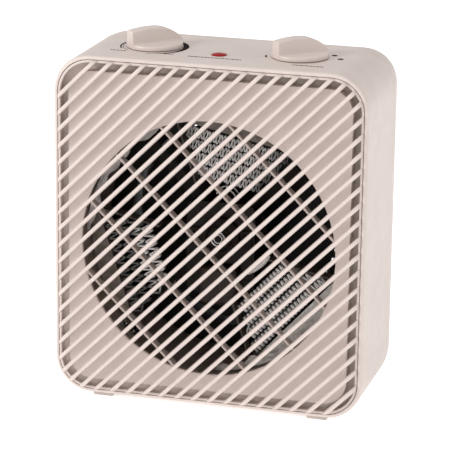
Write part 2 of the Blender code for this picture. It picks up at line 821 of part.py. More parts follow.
def knob(name, x, look):
    """A round skirt, hollow below, with a tall arched blade across it to turn it by."""
    floor = TOP + 0.0006
    r = KNOB_RADIUS
    profile = [
        (0, SKIRT_HEIGHT + 0.0006),
        (r * 0.60, SKIRT_HEIGHT + 0.0002),
        (r * 0.90, SKIRT_HEIGHT - 0.0009),
        (r * 0.985, SKIRT_HEIGHT * 0.60),
        (r, 0.0),
        (r - 0.0018, 0.0),
        (r - 0.0018, KNOB_HOLLOW),
        (0, KNOB_HOLLOW),
    ]
    made = turned(name, profile, (x, KNOB_Y, floor), (0, 0, 0), 28)
    top = KNOB_HEIGHT - 0.0006
    steps = 7
    reach = r * 0.985
    end_height = 0.0093
    sag = top - end_height
    arc_radius = (reach ** 2 + sag ** 2) / (2 * sag)
    half_angle = math.asin(reach / arc_radius)
    arch = [(-reach, KNOB_HOLLOW + 0.0001), (reach, KNOB_HOLLOW + 0.0001)]
    for i in range(steps + 1):
        angle = half_angle * (1 - 2 * i / steps)
        height = top - arc_radius * (1 - math.cos(angle))
        arch.append((arc_radius * math.sin(angle), height))
    turn = (math.pi / 2, 0, KNOB_TURN)
    blade = outline_plate("blade", [arch], BLADE_THICKNESS, (x, KNOB_Y, floor), turn)
    trim = turned(
        "trim",
        [(0, 0.03), (r * 0.93, 0.03), (r * 0.995, 0.0001), (0, 0.0001)],
        (x, KNOB_Y, floor),
        (0, 0, 0),
        28,
    )
    combine(blade, trim, "INTERSECT")
    combine(made, blade, "UNION")
    start, end = (x, KNOB_Y, floor + 0.0008), (x, KNOB_Y, floor + KNOB_HOLLOW + 0.0005)
    socket = rod("socket", 0.0055, start, end, 20)
    combine(made, socket, "UNION")
    low, high = (x, KNOB_Y, floor - 0.01), (x, KNOB_Y, floor + 0.0105)
    combine(made, rod("bore", STEM_RADIUS + GAP, low, high, 20), "DIFFERENCE")
    return finish(made, look)


def stem(name, x, look):
    """A control's shaft, from inside its body up into the knob."""
    low, high = (x, KNOB_Y, TOP - 0.011), (x, KNOB_Y, TOP + 0.0105)
    return finish(rod(name, STEM_RADIUS, low, high, 20), look)


def control_body(name, x, size, look):
    """A thermostat's or a rotary switch's body under the top, with its terminals below."""
    width, depth, height = size
    high = TOP - WALL - GAP
    body = box(name, size, (x, KNOB_Y, high - height / 2))
    bevel = body.modifiers.new("edges", "BEVEL")
    bevel.width = 0.0015
    bevel.segments = 1
    bake(body)
    bore = rod("bore", STEM_RADIUS + GAP, (x, KNOB_Y, high - 0.009), (x, KNOB_Y, high + 0.01), 20)
    combine(body, bore, "DIFFERENCE")
    for shift in SCREW_SHIFTS:
        start, end = (x + shift, KNOB_Y, high - 0.010), (x + shift, KNOB_Y, high + 0.01)
        combine(body, rod("hole", PILOT_RADIUS, start, end, 12), "DIFFERENCE")
    for shift in (-TAB_SHIFT, TAB_SHIFT):
        centre = (x + shift, KNOB_Y, high - height - TAB_REACH / 2 + 0.0005)
        combine(body, box("tab", (0.0063, 0.0008, TAB_REACH + 0.001), centre), "UNION")
    return finish(body, look)


def indicator_lens(look):
    """A flat lens with a low dome, and a stem that snaps into the top."""
    profile = [
        (0, 0.0016),
        (LENS_RADIUS * 0.55, 0.0013),
        (LENS_RADIUS * 0.95, 0.0004),
        (LENS_RADIUS - 0.0001, -0.0006),
        (LENS_RADIUS - 0.0001, -0.0060),
        (0, -0.0060),
    ]
    return finish(turned("indicator_lens", profile, (LENS_X, LENS_Y, TOP), (0, 0, 0), 24), look)


def indicator_lamp(look):
    """A neon lamp under the lens, on two stiff leads."""
    top = TOP - 0.0060 - GAP
    lamp = rod("indicator_lamp", 0.003, (LENS_X, LENS_Y, top - 0.011), (LENS_X, LENS_Y, top), 16)
    for side in (-1, 1):
        x = LENS_X + side * 0.0012
        lead = rod("lead", 0.0004, (x, LENS_Y, top - 0.017), (x, LENS_Y, top - 0.0105), 8)
        combine(lamp, lead, "UNION")
    return finish(lamp, look)


def terminal_block(look):
    x, y, z = TERMINALS
    block = box("terminal_block", (0.026, 0.012, 0.010), TERMINALS)
    holes = []
    for shift in (-0.008, 0, 0.008):
        holes.append(rod("hole", 0.0022, (x + shift, y - 0.01, z), (x + shift, y + 0.01, z), 10))
    return finish(combine(block, together("holes", holes), "DIFFERENCE"), look)


def tab_end(x, size):
    """Just under a control's terminal."""
    return (x, KNOB_Y, TOP - WALL - size[2] - TAB_REACH - LEAD_RADIUS - 3 * GAP)


def leads(look):
    """The fixed wires from the terminal block to the controls, and between the controls."""
    x, y, z = TERMINALS
    side, behind = LEAD_SIDE, LEAD_DEPTH
    live = [
        (x, y, z + 0.0065),
        (0.082, behind, 0.040),
        (side, behind, 0.075),
        (side, behind, 0.150),
        (0.095, behind, 0.200),
        (LEAD_HOLE_X, 0.011, LEAD_HOLE_Z),
        (LEAD_HOLE_X - 0.001, 0.002, LEAD_HOLE_Z),
        (0.072, -0.010, 0.217),
        tab_end(KNOB_X + TAB_SHIFT, SWITCH_SIZE),
    ]
    neutral = [
        (x - 0.0135, y, z),
        (0.0, behind, z + 0.001),
        (-0.070, behind, 0.030),
        (-side, behind, 0.075),
        (-side, behind, 0.150),
        (-0.095, behind, 0.200),
        (-LEAD_HOLE_X, 0.011, LEAD_HOLE_Z),
        (-LEAD_HOLE_X + 0.001, 0.002, LEAD_HOLE_Z),
        (-0.072, -0.010, 0.215),
        tab_end(-KNOB_X - TAB_SHIFT, THERMOSTAT_SIZE),
    ]
    bridge = [
        tab_end(-KNOB_X + TAB_SHIFT, THERMOSTAT_SIZE),
        (-0.020, KNOB_Y, 0.2175),
        (0.020, KNOB_Y, 0.2180),
        tab_end(KNOB_X - TAB_SHIFT, SWITCH_SIZE),
    ]
    for name, route, count in (("live", live, 22), ("neutral", neutral, 26), ("bridge", bridge, 9)):
        finish(wire(f"lead_{name}", smooth_route(route, count), LEAD_RADIUS), look)


def smooth_route(points, count):
    """Points along one smooth curve through the given ones."""
    spots = [np.array(p) for p in points]
    spots = [2 * spots[0] - spots[1]] + spots + [2 * spots[-1] - spots[-2]]
    made = []
    spans = len(spots) - 3
    for i in range(count + 1):
        place = min(i / count * spans, spans - 1e-9)
        k = int(place)
        t = place - k
        a, b, c, d = spots[k:k + 4]
        square = (2 * a - 5 * b + 4 * c - d) * t ** 2
        cube = (3 * b - a - 3 * c + d) * t ** 3
        made.append(tuple(0.5 * (2 * b + (c - a) * t + square + cube)))
    return made


# Assembly ---------------------------------------------------------------------------------------

def build():
    plastic = material("casing_plastic", PLASTIC, 0.42)
    knob_plastic = material("knob_plastic", (0.78, 0.72, 0.68), 0.38)
    steel = material("duct_steel", STEEL, 0.35, 0.9)
    dark_steel = material("stator_steel", (0.16, 0.15, 0.15), 0.5, 0.7)
    zinc = material("zinc_plate", (0.66, 0.66, 0.64), 0.3, 0.95)
    ribbon = material("resistance_ribbon", (0.62, 0.58, 0.54), 0.3, 1.0)
    mica = material("mica", (0.62, 0.56, 0.46), 0.55)
    copper = material("enamelled_copper", (0.45, 0.18, 0.08), 0.35, 0.6)
    black = material("black_plastic", (0.03, 0.03, 0.03), 0.5)
    bakelite = material("phenolic", (0.10, 0.07, 0.05), 0.5)
    lens = material("red_lens", (0.55, 0.01, 0.01), 0.15)
    glass = material("lamp_glass", (0.9, 0.6, 0.4), 0.1)
    insulation = material("lead_insulation", (0.75, 0.75, 0.72), 0.5)
    rubber = material("foot_rubber", (0.50, 0.46, 0.43), 0.8)

    main_housing(plastic)
    rear_cover(plastic)
    front_grille(plastic)
    corners = ("front_left", "front_right", "rear_left", "rear_right")
    for corner, (x, y) in zip(corners, foot_places()):
        foot(f"foot_{corner}", x, y, rubber)
    for index, (x, z) in enumerate(screw_places(), 1):
        place = (x, SPLIT + 0.004 + GAP, z)
        screw(f"cover_screw_{index}", place, (0, -1, 0), 0.003, 0.0022, 0.0015, 0.014, zinc)
    cord_gland(black)

    duct_ring(steel)
    fan_shroud(black)
    for index, angle in enumerate(BANK_ANGLES):
        heating_bank(index + 1, angle, ribbon)
        mica_plate(index + 1, angle, mica)
        mica_board(2 * index + 1, angle - BANK_HALF, mica)
        mica_board(2 * index + 2, angle + BANK_HALF, mica)
    thermal_cutout(bakelite)

    motor_stator(dark_steel)
    motor_winding(copper)
    motor_brackets(zinc)
    motor_mount(steel)
    spin = pivot("fan_axis", (0, 0, AXIS_Z))
    for piece in (motor_rotor(dark_steel), motor_shaft(zinc), fan(black), fan_nut(zinc)):
        hang(piece, spin)

    controls = (
        ("thermostat", -KNOB_X, THERMOSTAT_SIZE),
        ("mode_switch", KNOB_X, SWITCH_SIZE),
    )
    for name, x, size in controls:
        control_body(f"{name}_body", x, size, bakelite)
        axis = pivot(f"{name}_axis", (x, KNOB_Y, TOP))
        hang(stem(f"{name}_stem", x, zinc), axis)
        hang(knob(f"{name}_knob", x, knob_plastic), axis)
        for index, shift in enumerate(SCREW_SHIFTS, 1):
            place = (x + shift, KNOB_Y, TOP + GAP)
            screw(f"{name}_screw_{index}", place, (0, 0, -1), 0.0028, 0.0016, 0.0015, 0.010, zinc)
    indicator_lens(lens)
    indicator_lamp(glass)
    terminal_block(bakelite)
    leads(insulation)


clear_scene()
PARTS = bpy.data.collections.new("fan_heater")
bpy.context.scene.collection.children.link(PARTS)
build()
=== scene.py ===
"""The looks of a compact desktop fan heater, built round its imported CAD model.

Metres, +Z up, the front faces -Y. Each piece is built in place, so its object sits at the origin.
"""

import math

import bmesh
import bpy
import numpy as np
from mathutils import Matrix, Vector


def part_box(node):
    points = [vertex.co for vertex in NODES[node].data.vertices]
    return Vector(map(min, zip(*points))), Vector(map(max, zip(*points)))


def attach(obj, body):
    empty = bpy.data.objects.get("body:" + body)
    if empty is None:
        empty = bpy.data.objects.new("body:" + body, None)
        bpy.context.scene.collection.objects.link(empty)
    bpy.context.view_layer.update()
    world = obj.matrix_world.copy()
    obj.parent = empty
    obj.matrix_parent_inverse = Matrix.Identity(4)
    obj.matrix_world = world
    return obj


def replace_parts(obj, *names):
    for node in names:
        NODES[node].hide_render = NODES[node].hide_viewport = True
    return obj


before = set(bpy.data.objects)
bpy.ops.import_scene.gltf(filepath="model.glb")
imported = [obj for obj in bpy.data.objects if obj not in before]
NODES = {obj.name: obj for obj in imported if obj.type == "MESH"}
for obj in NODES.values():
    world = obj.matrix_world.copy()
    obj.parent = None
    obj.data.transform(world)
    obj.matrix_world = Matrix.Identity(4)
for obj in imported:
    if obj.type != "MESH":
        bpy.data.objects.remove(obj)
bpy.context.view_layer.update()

# Places and sizes that the CAD nodes give
HOUSING_LOW, HOUSING_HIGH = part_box("main_housing")
GRILLE_LOW, GRILLE_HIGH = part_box("front_grille")
COVER_LOW, COVER_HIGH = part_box("rear_cover")
DUCT_LOW, DUCT_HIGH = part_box("duct_ring")
SHAFT_LOW, SHAFT_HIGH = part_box("motor_shaft")
FAN_LOW, FAN_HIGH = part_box("fan")

WIDTH = HOUSING_HIGH.x - HOUSING_LOW.x
HEIGHT = HOUSING_HIGH.z - HOUSING_LOW.z
MIDDLE = (HOUSING_HIGH.z + HOUSING_LOW.z) / 2
TOP = HOUSING_HIGH.z
FRONT = HOUSING_LOW.y
SPLIT = COVER_LOW.y
BACK = COVER_HIGH.y
AXIS_Z = (SHAFT_LOW.z + SHAFT_HIGH.z) / 2

# Casing
CORNER = 0.026
WALL = 0.0026
RIM_IN = 0.0030  # the grille's outer edge, inside the body's outline
GROOVE_IN = 0.0105
HOLE_RADIUS = 0.0915
FIN_PITCH = 0.012
RIB_PITCH = 0.0541
RIB_SHIFT = -0.004
INTAKE_RADIUS = 0.074
SLOT_PITCH = 0.0095
SLOT_HEIGHT = 0.0045
MULLION = 0.004
GROOVE_SHALLOW = 0.0036  # the groove's depth at the bottom left
GROOVE_EXTRA = 0.0049  # how much deeper it is at the top right
RIB_DEPTH = 0.007
FIN_FALL = 0.0042  # the fins' ends curve back over this distance from the outline
BACK_ROUNDING = 0.010  # depth of the rear cover's rounded edge
SCREW_INSET = 0.0068  # from a rounded corner to its screw
WELL_RADIUS = 0.0036  # the wells that the cover's screws go in by
WELL_FLOOR = SPLIT + 0.004
POST_RADIUS = 0.0048
GLAND_HOLE = 0.0062

# Air path
DUCT_INNER = 0.0925
TAB_OUTER = DUCT_INNER - 0.0006  # the element's brackets lie against the duct's wall
TAB_INNER = TAB_OUTER - 0.0006
TABS = (  # the angle in degrees and the width of each
    (-72, 0.014), (-12, 0.012), (48, 0.012), (108, 0.012), (168, 0.012), (228, 0.014),
)

# Knobs
KNOB_FLOOR = 0.0028  # height of the skirt's edge
BLADE_HALF = 0.0047  # half the grip blade's thickness
BLADE_CREST = -0.003  # the blade is highest just in front of its middle


# Tools ------------------------------------------------------------------------------------------

def outline(inset, corner_steps=12, side_steps=16):
    """The body's outline drawn in by an inset, as (x, z) round its middle, anticlockwise."""
    radius = max(CORNER - 0.85 * inset, 0.004)
    half = (WIDTH / 2 - inset - radius, HEIGHT / 2 - inset - radius)
    centres = [(half[0], half[1]), (-half[0], half[1]), (-half[0], -half[1]), (half[0], -half[1])]
    points = []
    for quarter, (cx, cz) in enumerate(centres):
        for i in range(corner_steps + 1):
            angle = (quarter + i / corner_steps) * math.pi / 2
            points.append((cx + radius * math.cos(angle), cz + radius * math.sin(angle)))
        end = Vector(points[-1])
        angle = (quarter + 1) * math.pi / 2
        following = centres[(quarter + 1) % 4]
        start = Vector((
            following[0] + radius * math.cos(angle),
            following[1] + radius * math.sin(angle),
        ))
        for i in range(1, side_steps):
            points.append(tuple(end.lerp(start, i / side_steps)))
    return points


def rounded_distance(x, z, inset):
    """How far points are inside the body's outline, drawn in by an inset."""
    radius = max(CORNER - 0.85 * inset, 0.004)
    qx = np.abs(x) - (WIDTH / 2 - inset - radius)
    qz = np.abs(z - MIDDLE) - (HEIGHT / 2 - inset - radius)
    outside = np.hypot(np.maximum(qx, 0), np.maximum(qz, 0))
    return radius - outside - np.minimum(np.maximum(qx, qz), 0)


def body_loop(inset, y):
    """The body's outline, drawn in by an inset, at a depth."""
    return [(x, y, MIDDLE + z) for x, z in outline(inset)]


def groove_loop(inset, lift):
    """A loop on the floor of the grille's groove, which is deeper at the top and right."""
    loop = []
    for x, z in outline(inset):
        share = min(max(0.5 + 0.4 * (2 * x / WIDTH + 2 * z / HEIGHT), 0.0), 1.0)
        loop.append((x, FRONT + GROOVE_SHALLOW + GROOVE_EXTRA * share + lift, MIDDLE + z))
    return loop


def hole_loop(radius, y):
    """A circle round the air axis, its points in line with those of the body's outline."""
    loop = []
    for x, z in outline(0.010):
        angle = math.atan2(MIDDLE + z - AXIS_Z, x)
        loop.append((radius * math.cos(angle), y, AXIS_Z + radius * math.sin(angle)))
    return loop


def add(name, data):
    """Puts an object of a mesh, a light or a camera in the scene."""
    obj = bpy.data.objects.new(name, data)
    bpy.context.scene.collection.objects.link(obj)
    return obj


def piece(name, bm, look, body="casing", smooth_below=35):
    """Makes an object of a bmesh, with its finish and the body it moves with."""
    mesh = bpy.data.meshes.new(name)
    bm.to_mesh(mesh)
    bm.free()
    obj = add(name, mesh)
    mesh.materials.append(look)
    mesh.shade_smooth()
    mesh.set_sharp_from_angle(angle=math.radians(smooth_below))
    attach(obj, body)
    return obj


def skin(bm, loops, closed=True, start_cap=False, end_cap=False):
    """Joins loops of points with faces. A closed skin also joins its last loop to its first."""
    rings = [[bm.verts.new(point) for point in loop] for loop in loops]
    pairs = list(zip(rings, rings[1:]))
    if closed:
        pairs.append((rings[-1], rings[0]))
    count = len(rings[0])
    for ring, following in pairs:
        for i in range(count):
            j = (i + 1) % count
            bm.faces.new((ring[i], ring[j], following[j], following[i]))
    if start_cap:
        bm.faces.new(rings[0][::-1])
    if end_cap:
        bm.faces.new(rings[-1])


def outward(bm):
    bmesh.ops.recalc_face_normals(bm, faces=bm.faces)
    return bm


def loft(loops):
    """A solid through loops of points, with a face at each end."""
    bm = bmesh.new()
    skin(bm, loops, False, True, True)
    return outward(bm)


def revolve(profile, centre, steps=64, along="y", closed=False):
    """Turns (radius, distance) points about an axis through the centre."""
    bm = bmesh.new()
    loops = []
    for radius, distance in profile:
        loop = []
        for i in range(steps):
            angle = 2 * math.pi * i / steps
            a, b = radius * math.cos(angle), radius * math.sin(angle)
            offset = (a, distance, b) if along == "y" else (a, b, distance)
            loop.append(Vector(centre) + Vector(offset))
        loops.append(loop)
    skin(bm, loops, closed, not closed, not closed)
    return outward(bm)


def merge(target, source):
    """Adds one bmesh to another."""
    mesh = bpy.data.meshes.new("part")
    source.to_mesh(mesh)
    source.free()
    target.from_mesh(mesh)
    bpy.data.meshes.remove(mesh)


def box_mesh(size, centre, turn=None, bevel=0.0):
    """A box round a centre, its edges rounded before it is turned."""
    bm = bmesh.new()
    bmesh.ops.create_cube(bm, size=1.0)
    bmesh.ops.scale(bm, vec=size, verts=bm.verts)
    if bevel:
        bmesh.ops.bevel(
            bm, geom=bm.edges[:], offset=bevel, segments=2, profile=0.5, affect="EDGES"
        )
    if turn is not None:
        bmesh.ops.transform(bm, matrix=turn.to_4x4(), verts=bm.verts)
    bmesh.ops.translate(bm, vec=centre, verts=bm.verts)
    return bm


def cut(obj, cutter_bm):
    """Takes a closed mesh away from an object."""
    mesh = bpy.data.meshes.new("cutter")
    cutter_bm.to_mesh(mesh)
    cutter_bm.free()
    cutter = add("cutter", mesh)
    step = obj.modifiers.new("cut", "BOOLEAN")
    step.operation = "DIFFERENCE"
    step.solver = "EXACT"
    step.object = cutter
    graph = bpy.context.evaluated_depsgraph_get()
    made = bpy.data.meshes.new_from_object(obj.evaluated_get(graph))
    obj.modifiers.clear()
    obj.data = made
    bpy.data.objects.remove(cutter)
    made.shade_smooth()
    made.set_sharp_from_angle(angle=math.radians(35))


# Finishes ---------------------------------------------------------------------------------------

def link(tree, source, target):
    tree.links.new(source, target)


def scaled(tree, source, source_range, target_range):
    """Maps a value from one range to another."""
    node = tree.nodes.new("ShaderNodeMapRange")
    keys = ("From Min", "From Max", "To Min", "To Max")
    for key, value in zip(keys, (*source_range, *target_range)):
        node.inputs[key].default_value = value
    link(tree, source, node.inputs["Value"])
    return node.outputs["Result"]


def tinted(tree, source, share, colour):
    """Mixes a colour over another, by a share that may vary."""
    mix = tree.nodes.new("ShaderNodeMix")
    mix.data_type = "RGBA"
    mix.inputs["B"].default_value = (*colour, 1)
    link(tree, share, mix.inputs["Factor"])
    link(tree, source, mix.inputs["A"])
    return mix.outputs["Result"]


def finish(
    name,
    colour,
    roughness,
    metallic=0.0,
    mottle=(60, 0.03),
    grain=(1500, 0.00003),
    spread=0.06,
    stretch=(1, 1, 1),
    wear=0.0,
    transmission=0.0,
    specular=0.5,
):
    """A procedural finish: mottled colour, varied roughness, a fine grain and worn edges.

    The mottle is (scale, strength), the grain (scale, height), and the spread is how far the
    roughness varies each way.
    """
    made = bpy.data.materials.new(name)
    made.use_nodes = True
    tree = made.node_tree
    shader = tree.nodes["Principled BSDF"]
    shader.inputs["Metallic"].default_value = metallic
    shader.inputs["Specular IOR Level"].default_value = specular
    shader.inputs["Transmission Weight"].default_value = transmission

    place = tree.nodes.new("ShaderNodeTexCoord")
    mapping = tree.nodes.new("ShaderNodeMapping")
    mapping.inputs["Scale"].default_value = stretch
    link(tree, place.outputs["Object"], mapping.inputs["Vector"])

    def noise(scale, detail):
        node = tree.nodes.new("ShaderNodeTexNoise")
        node.inputs["Scale"].default_value = scale
        node.inputs["Detail"].default_value = detail
        link(tree, mapping.outputs["Vector"], node.inputs["Vector"])
        return node

    patches = noise(mottle[0], 4)
    ramp = tree.nodes.new("ShaderNodeValToRGB")
    factors = (1 - mottle[1], 1 + mottle[1])
    for stop, share, factor in zip(ramp.color_ramp.elements, (0.3, 0.7), factors):
        stop.position = share
        stop.color = (*[min(channel * factor, 1.0) for channel in colour], 1)
    link(tree, patches.outputs["Fac"], ramp.inputs["Fac"])
    result = ramp.outputs["Color"]
    if wear:
        geometry = tree.nodes.new("ShaderNodeNewGeometry")
        edges = scaled(tree, geometry.outputs["Pointiness"], (0.52, 0.62), (0.0, wear))
        result = tinted(tree, result, edges, [min(1.2 * channel, 1) for channel in colour])
    link(tree, result, shader.inputs["Base Color"])

    smudges = noise(mottle[0] * 2.7, 5)
    varied = (roughness - spread, roughness + spread)
    rough = scaled(tree, smudges.outputs["Fac"], (0.3, 0.7), varied)
    link(tree, rough, shader.inputs["Roughness"])

    fine = noise(grain[0], 3)
    bump = tree.nodes.new("ShaderNodeBump")
    bump.inputs["Distance"].default_value = grain[1]
    bump.inputs["Strength"].default_value = 0.6
    link(tree, fine.outputs["Fac"], bump.inputs["Height"])
    link(tree, bump.outputs["Normal"], shader.inputs["Normal"])
    return made


casing = finish(
    "casing_plastic", (0.590, 0.508, 0.470), 0.44, grain=(2200, 0.00004), wear=0.25, specular=0.28
)
knob_plastic = finish(
    "knob_plastic", (0.590, 0.505, 0.465), 0.34, grain=(2600, 0.00002), specular=0.35
)
black = finish(
    "black_plastic", (0.010, 0.009, 0.008), 0.5, mottle=(80, 0.25), wear=0.1, specular=0.25
)
phenolic = finish("phenolic", (0.09, 0.06, 0.045), 0.45, mottle=(120, 0.2))
rubber = finish(
    "foot_rubber", (0.50, 0.435, 0.40), 0.75, mottle=(150, 0.08), grain=(1800, 0.00006)
)
duct_steel = finish(
    "duct_steel", (0.40, 0.33, 0.285), 0.36, metallic=0.45, mottle=(30, 0.12),
    grain=(900, 0.00003), spread=0.08, stretch=(1, 0.12, 1),
)
stator_steel = finish(
    "stator_steel", (0.016, 0.011, 0.009), 0.55, mottle=(60, 0.2),
    grain=(700, 0.0002), spread=0.1, stretch=(0.05, 3, 0.05), specular=0.2,
)
# A bright sheet for painted reflections in the duct's wall.
reflection_foil = finish(
    "painted_reflection_foil", (0.94, 0.88, 0.83), 0.24, metallic=0.2, mottle=(150, 0.25), grain=(700, 0.0002)
)
zinc = finish("zinc_plate", (0.62, 0.60, 0.58), 0.26, metallic=1.0, mottle=(90, 0.10), wear=0.3)
board_mica = finish(
    "board_mica", (0.085, 0.07, 0.058), 0.5, mottle=(260, 0.3), grain=(900, 0.0001)
)
# A darker copy of the mica finish, for the second and third plates.
darker_mica = finish("darker_mica", (0.24, 0.20, 0.17), 0.45, mottle=(260, 0.3), grain=(900, 0.0001))
mica = finish("mica", (0.86, 0.80, 0.76), 0.42, mottle=(260, 0.22), grain=(900, 0.0001))
# Nearly black: painted shade over the motor winding's copper colour.
shaded_copper = finish(
    "enamelled_copper", (0.026, 0.011, 0.007), 0.45, mottle=(200, 0.2),
    grain=(1200, 0.0003), spread=0.08, stretch=(4, 0.2, 1),
)
print_black = finish("print_black", (0.010, 0.006, 0.005), 0.7, mottle=(400, 0.2), specular=0.05)
red = finish("red_lens", (0.27, 0.003, 0.006), 0.16, mottle=(300, 0.1), spread=0.04, specular=0.15)
glass = finish("lamp_glass", (0.85, 0.55, 0.35), 0.1, mottle=(200, 0.05), transmission=0.8)
insulation = finish("lead_insulation", (0.70, 0.70, 0.66), 0.5, mottle=(200, 0.06))
sleeve_glass = finish(
    "glass_sleeve", (0.94, 0.92, 0.89), 0.5, mottle=(500, 0.06), grain=(1500, 0.0001)
)


def ribbon_finish():
    """Crimped resistance ribbon, bright where it shows lit and tinted dark elsewhere as painted
    shade.
    """
    made = finish(
        "resistance_ribbon", (0.96, 0.92, 0.88), 0.34, metallic=0.05, mottle=(500, 0.15),
        grain=(2500, 0.00002), spread=0.1,
    )
    tree = made.node_tree
    shader = tree.nodes["Principled BSDF"]
    colour = shader.inputs["Base Color"].links[0].from_socket
    # Painted shade: a per-point attribute tints the ribbon nearly black outside the lit sectors.
    painted_shade = tree.nodes.new("ShaderNodeAttribute")
    painted_shade.attribute_name = "painted_shade"
    darkened = tinted(tree, colour, painted_shade.outputs["Fac"], (0.035, 0.028, 0.024))
    link(tree, darkened, shader.inputs["Base Color"])
    return made


ribbon = ribbon_finish()


# Casing -----------------------------------------------------------------------------------------

def arc(start, end, steps, inset_first):
    """Sections (inset, y) along a quarter of an ellipse between two of them.

    It sets off along the inset, or else along y.
    """
    sections = []
    for i in range(steps + 1):
        angle = i / steps * math.pi / 2
        a, b = 1 - math.cos(angle), math.sin(angle)
        if inset_first:
            a, b = b, a
        sections.append((start[0] + (end[0] - start[0]) * a, start[1] + (end[1] - start[1]) * b))
    return sections


def main_housing():
    back = HOUSING_HIGH.y
    sections = [(WALL, back - 0.0003), (WALL, FRONT + 0.0003), (WALL - 0.0003, FRONT)]
    sections += arc((0.0016, FRONT), (0.0, FRONT + 0.0028), 6, True)
    sections += [(0.0, FRONT + 0.010), (0.0, (FRONT + back) / 2), (0.0, back - 0.0012)]
    sections += arc((0.0, back - 0.0004), (0.0004, back), 3, False)
    sections += [(WALL - 0.0003, back)]
    bm = bmesh.new()
    skin(bm, [body_loop(inset, y) for inset, y in sections])
    made = piece("housing_shell", outward(bm), casing)
    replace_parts(made, "main_housing")


def rear_inset(y):
    """How far the rear cover has drawn in at a depth: a growing taper, then a rounded edge."""
    taper_end = BACK - BACK_ROUNDING
    taper = 6.25 * (min(y, taper_end) - SPLIT) ** 2
    if y <= taper_end:
        return max(taper, 0.0)
    share = (y - taper_end) / (BACK - taper_end)
    return taper + 0.42 * (y - taper_end) + 0.009 * (1 - math.sqrt(max(0.0, 1 - share * share)))


def screw_places():
    """The four cover screws' (x, z), on the diagonals of the rounded corners."""
    from_centre = (CORNER - SCREW_INSET) / math.sqrt(2)
    x = WIDTH / 2 - CORNER + from_centre
    z = HEIGHT / 2 - CORNER + from_centre
    return [(sx * x, MIDDLE + sz * z) for sz in (-1, 1) for sx in (-1, 1)]


def keep_inside(post, x, z):
    """Draws a post's wall in where the tapered cover would leave it standing outside."""
    for vert in post.verts:
        inset = rear_inset(vert.co.y)
        from_post = math.hypot(vert.co.x - x, vert.co.z - z)
        margin = 0.0008 if from_post > 0.0042 else 0.0015
        depth = float(rounded_distance(vert.co.x, vert.co.z, inset + margin))
        if depth < 0:
            radius = CORNER - 0.85 * inset
            centre_x = math.copysign(WIDTH / 2 - inset - radius, x)
            centre_z = MIDDLE + math.copysign(HEIGHT / 2 - inset - radius, z - MIDDLE)
            away = Vector((vert.co.x - centre_x, 0, vert.co.z - centre_z)).normalized()
            vert.co += away * depth


def stadium(length, height, y_front, y_back, centre, steps=6):
    """A slot cutter with round ends."""
    loop = []
    radius = height / 2
    for side in (1, -1):
        for i in range(2 * steps + 1):
            angle = -math.pi / 2 + i / (2 * steps) * math.pi
            x = side * (length / 2 - radius + radius * math.cos(angle))
            z = side * radius * math.sin(angle)
            loop.append((centre[0] + x, centre[1] + z))
    return loft([[(x, y, z) for x, z in loop] for y in (y_front, y_back)])


def rear_shell():
    """The cover's skin: forward along its outside, round its front edge, and back inside."""
    taper_end = BACK - BACK_ROUNDING
    depths = [SPLIT + 0.0004, SPLIT + 0.0015]
    depths += [SPLIT + share * (taper_end - SPLIT) for share in (0.12, 0.25, 0.4, 0.55, 0.7, 0.85)]
    rounding = 9
    for i in range(rounding + 1):
        depths.append(BACK - BACK_ROUNDING * (1 - math.sin(i / rounding * math.pi / 2)))
    outer = [(rear_inset(y), y) for y in depths]
    inner = [(inset + WALL, y - (WALL if y > BACK - 0.011 else 0)) for inset, y in outer]
    sections = outer[::-1] + [(0.0004, SPLIT), (WALL - 0.0003, SPLIT)] + inner
    return loft([body_loop(inset, y) for inset, y in sections])


def intake_slots():
    """Cutters for the round air intake: rows of slots with a mullion down the middle."""
    cutters = bmesh.new()
    rows = int(INTAKE_RADIUS / SLOT_PITCH)
    for row in range(-rows, rows + 1):
        z = row * SLOT_PITCH
        length = math.sqrt(INTAKE_RADIUS ** 2 - z ** 2) - MULLION / 2
        for side in (-1, 1):
            centre = (side * (MULLION / 2 + length / 2), AXIS_Z + z)
            merge(cutters, stadium(length, SLOT_HEIGHT, BACK - 0.012, BACK + 0.01, centre))
    return cutters


def screw_posts():
    """The hollow posts that carry the cover's screws, part of the cover's moulding."""
    front, end = SPLIT + 0.0003, BACK - 0.019
    steps = [WELL_FLOOR + (end - WELL_FLOOR) * i / 8 for i in range(9)]
    profile = [(WELL_RADIUS, y) for y in steps] + [(POST_RADIUS, y) for y in reversed(steps)]
    profile += [(POST_RADIUS, front), (0.0018, front), (0.0018, WELL_FLOOR)]
    posts = bmesh.new()
    for x, z in screw_places():
        post = revolve(profile, (x, 0, z), 28, "y", True)
        keep_inside(post, x, z)
        merge(posts, post)
    return posts


def rear_cover():
    made = piece("rear_shell", rear_shell(), casing)
    cutters = intake_slots()
    well = [(WELL_RADIUS, WELL_FLOOR), (WELL_RADIUS, BACK + 0.01)]
    for x, z in screw_places():
        merge(cutters, revolve(well, (x, 0, z), 28))
    gland_low, gland_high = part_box("cord_gland")
    middle = (gland_low + gland_high) / 2
    hole = [(GLAND_HOLE, BACK - 0.012), (GLAND_HOLE, BACK + 0.01)]
    merge(cutters, revolve(hole, (middle.x, 0, middle.z), 32))
    cut(made, cutters)
    piece("rear_screw_posts", screw_posts(), casing)
    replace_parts(made, "rear_cover")


def spans(start, direction, inside):
    """The first and last distance along lines at which the inside test is above 0."""
    steps = np.linspace(-0.2, 0.2, 801)
    ends = []
    for sx, sz in start:
        value = inside(sx + steps * direction[0], sz + steps * direction[1])
        hit = np.nonzero(value > 0)[0]
        if len(hit) < 2:
            return None
        pair = []
        for good, bad in ((hit[0], hit[0] - 1), (hit[-1], hit[-1] + 1)):
            low, high = steps[good], steps[bad]
            for _ in range(24):
                mid = (low + high) / 2
                if inside(sx + mid * direction[0], sz + mid * direction[1]) > 0:
                    low = mid
                else:
                    high = mid
            pair.append(low)
        ends.append(pair)
    return ends


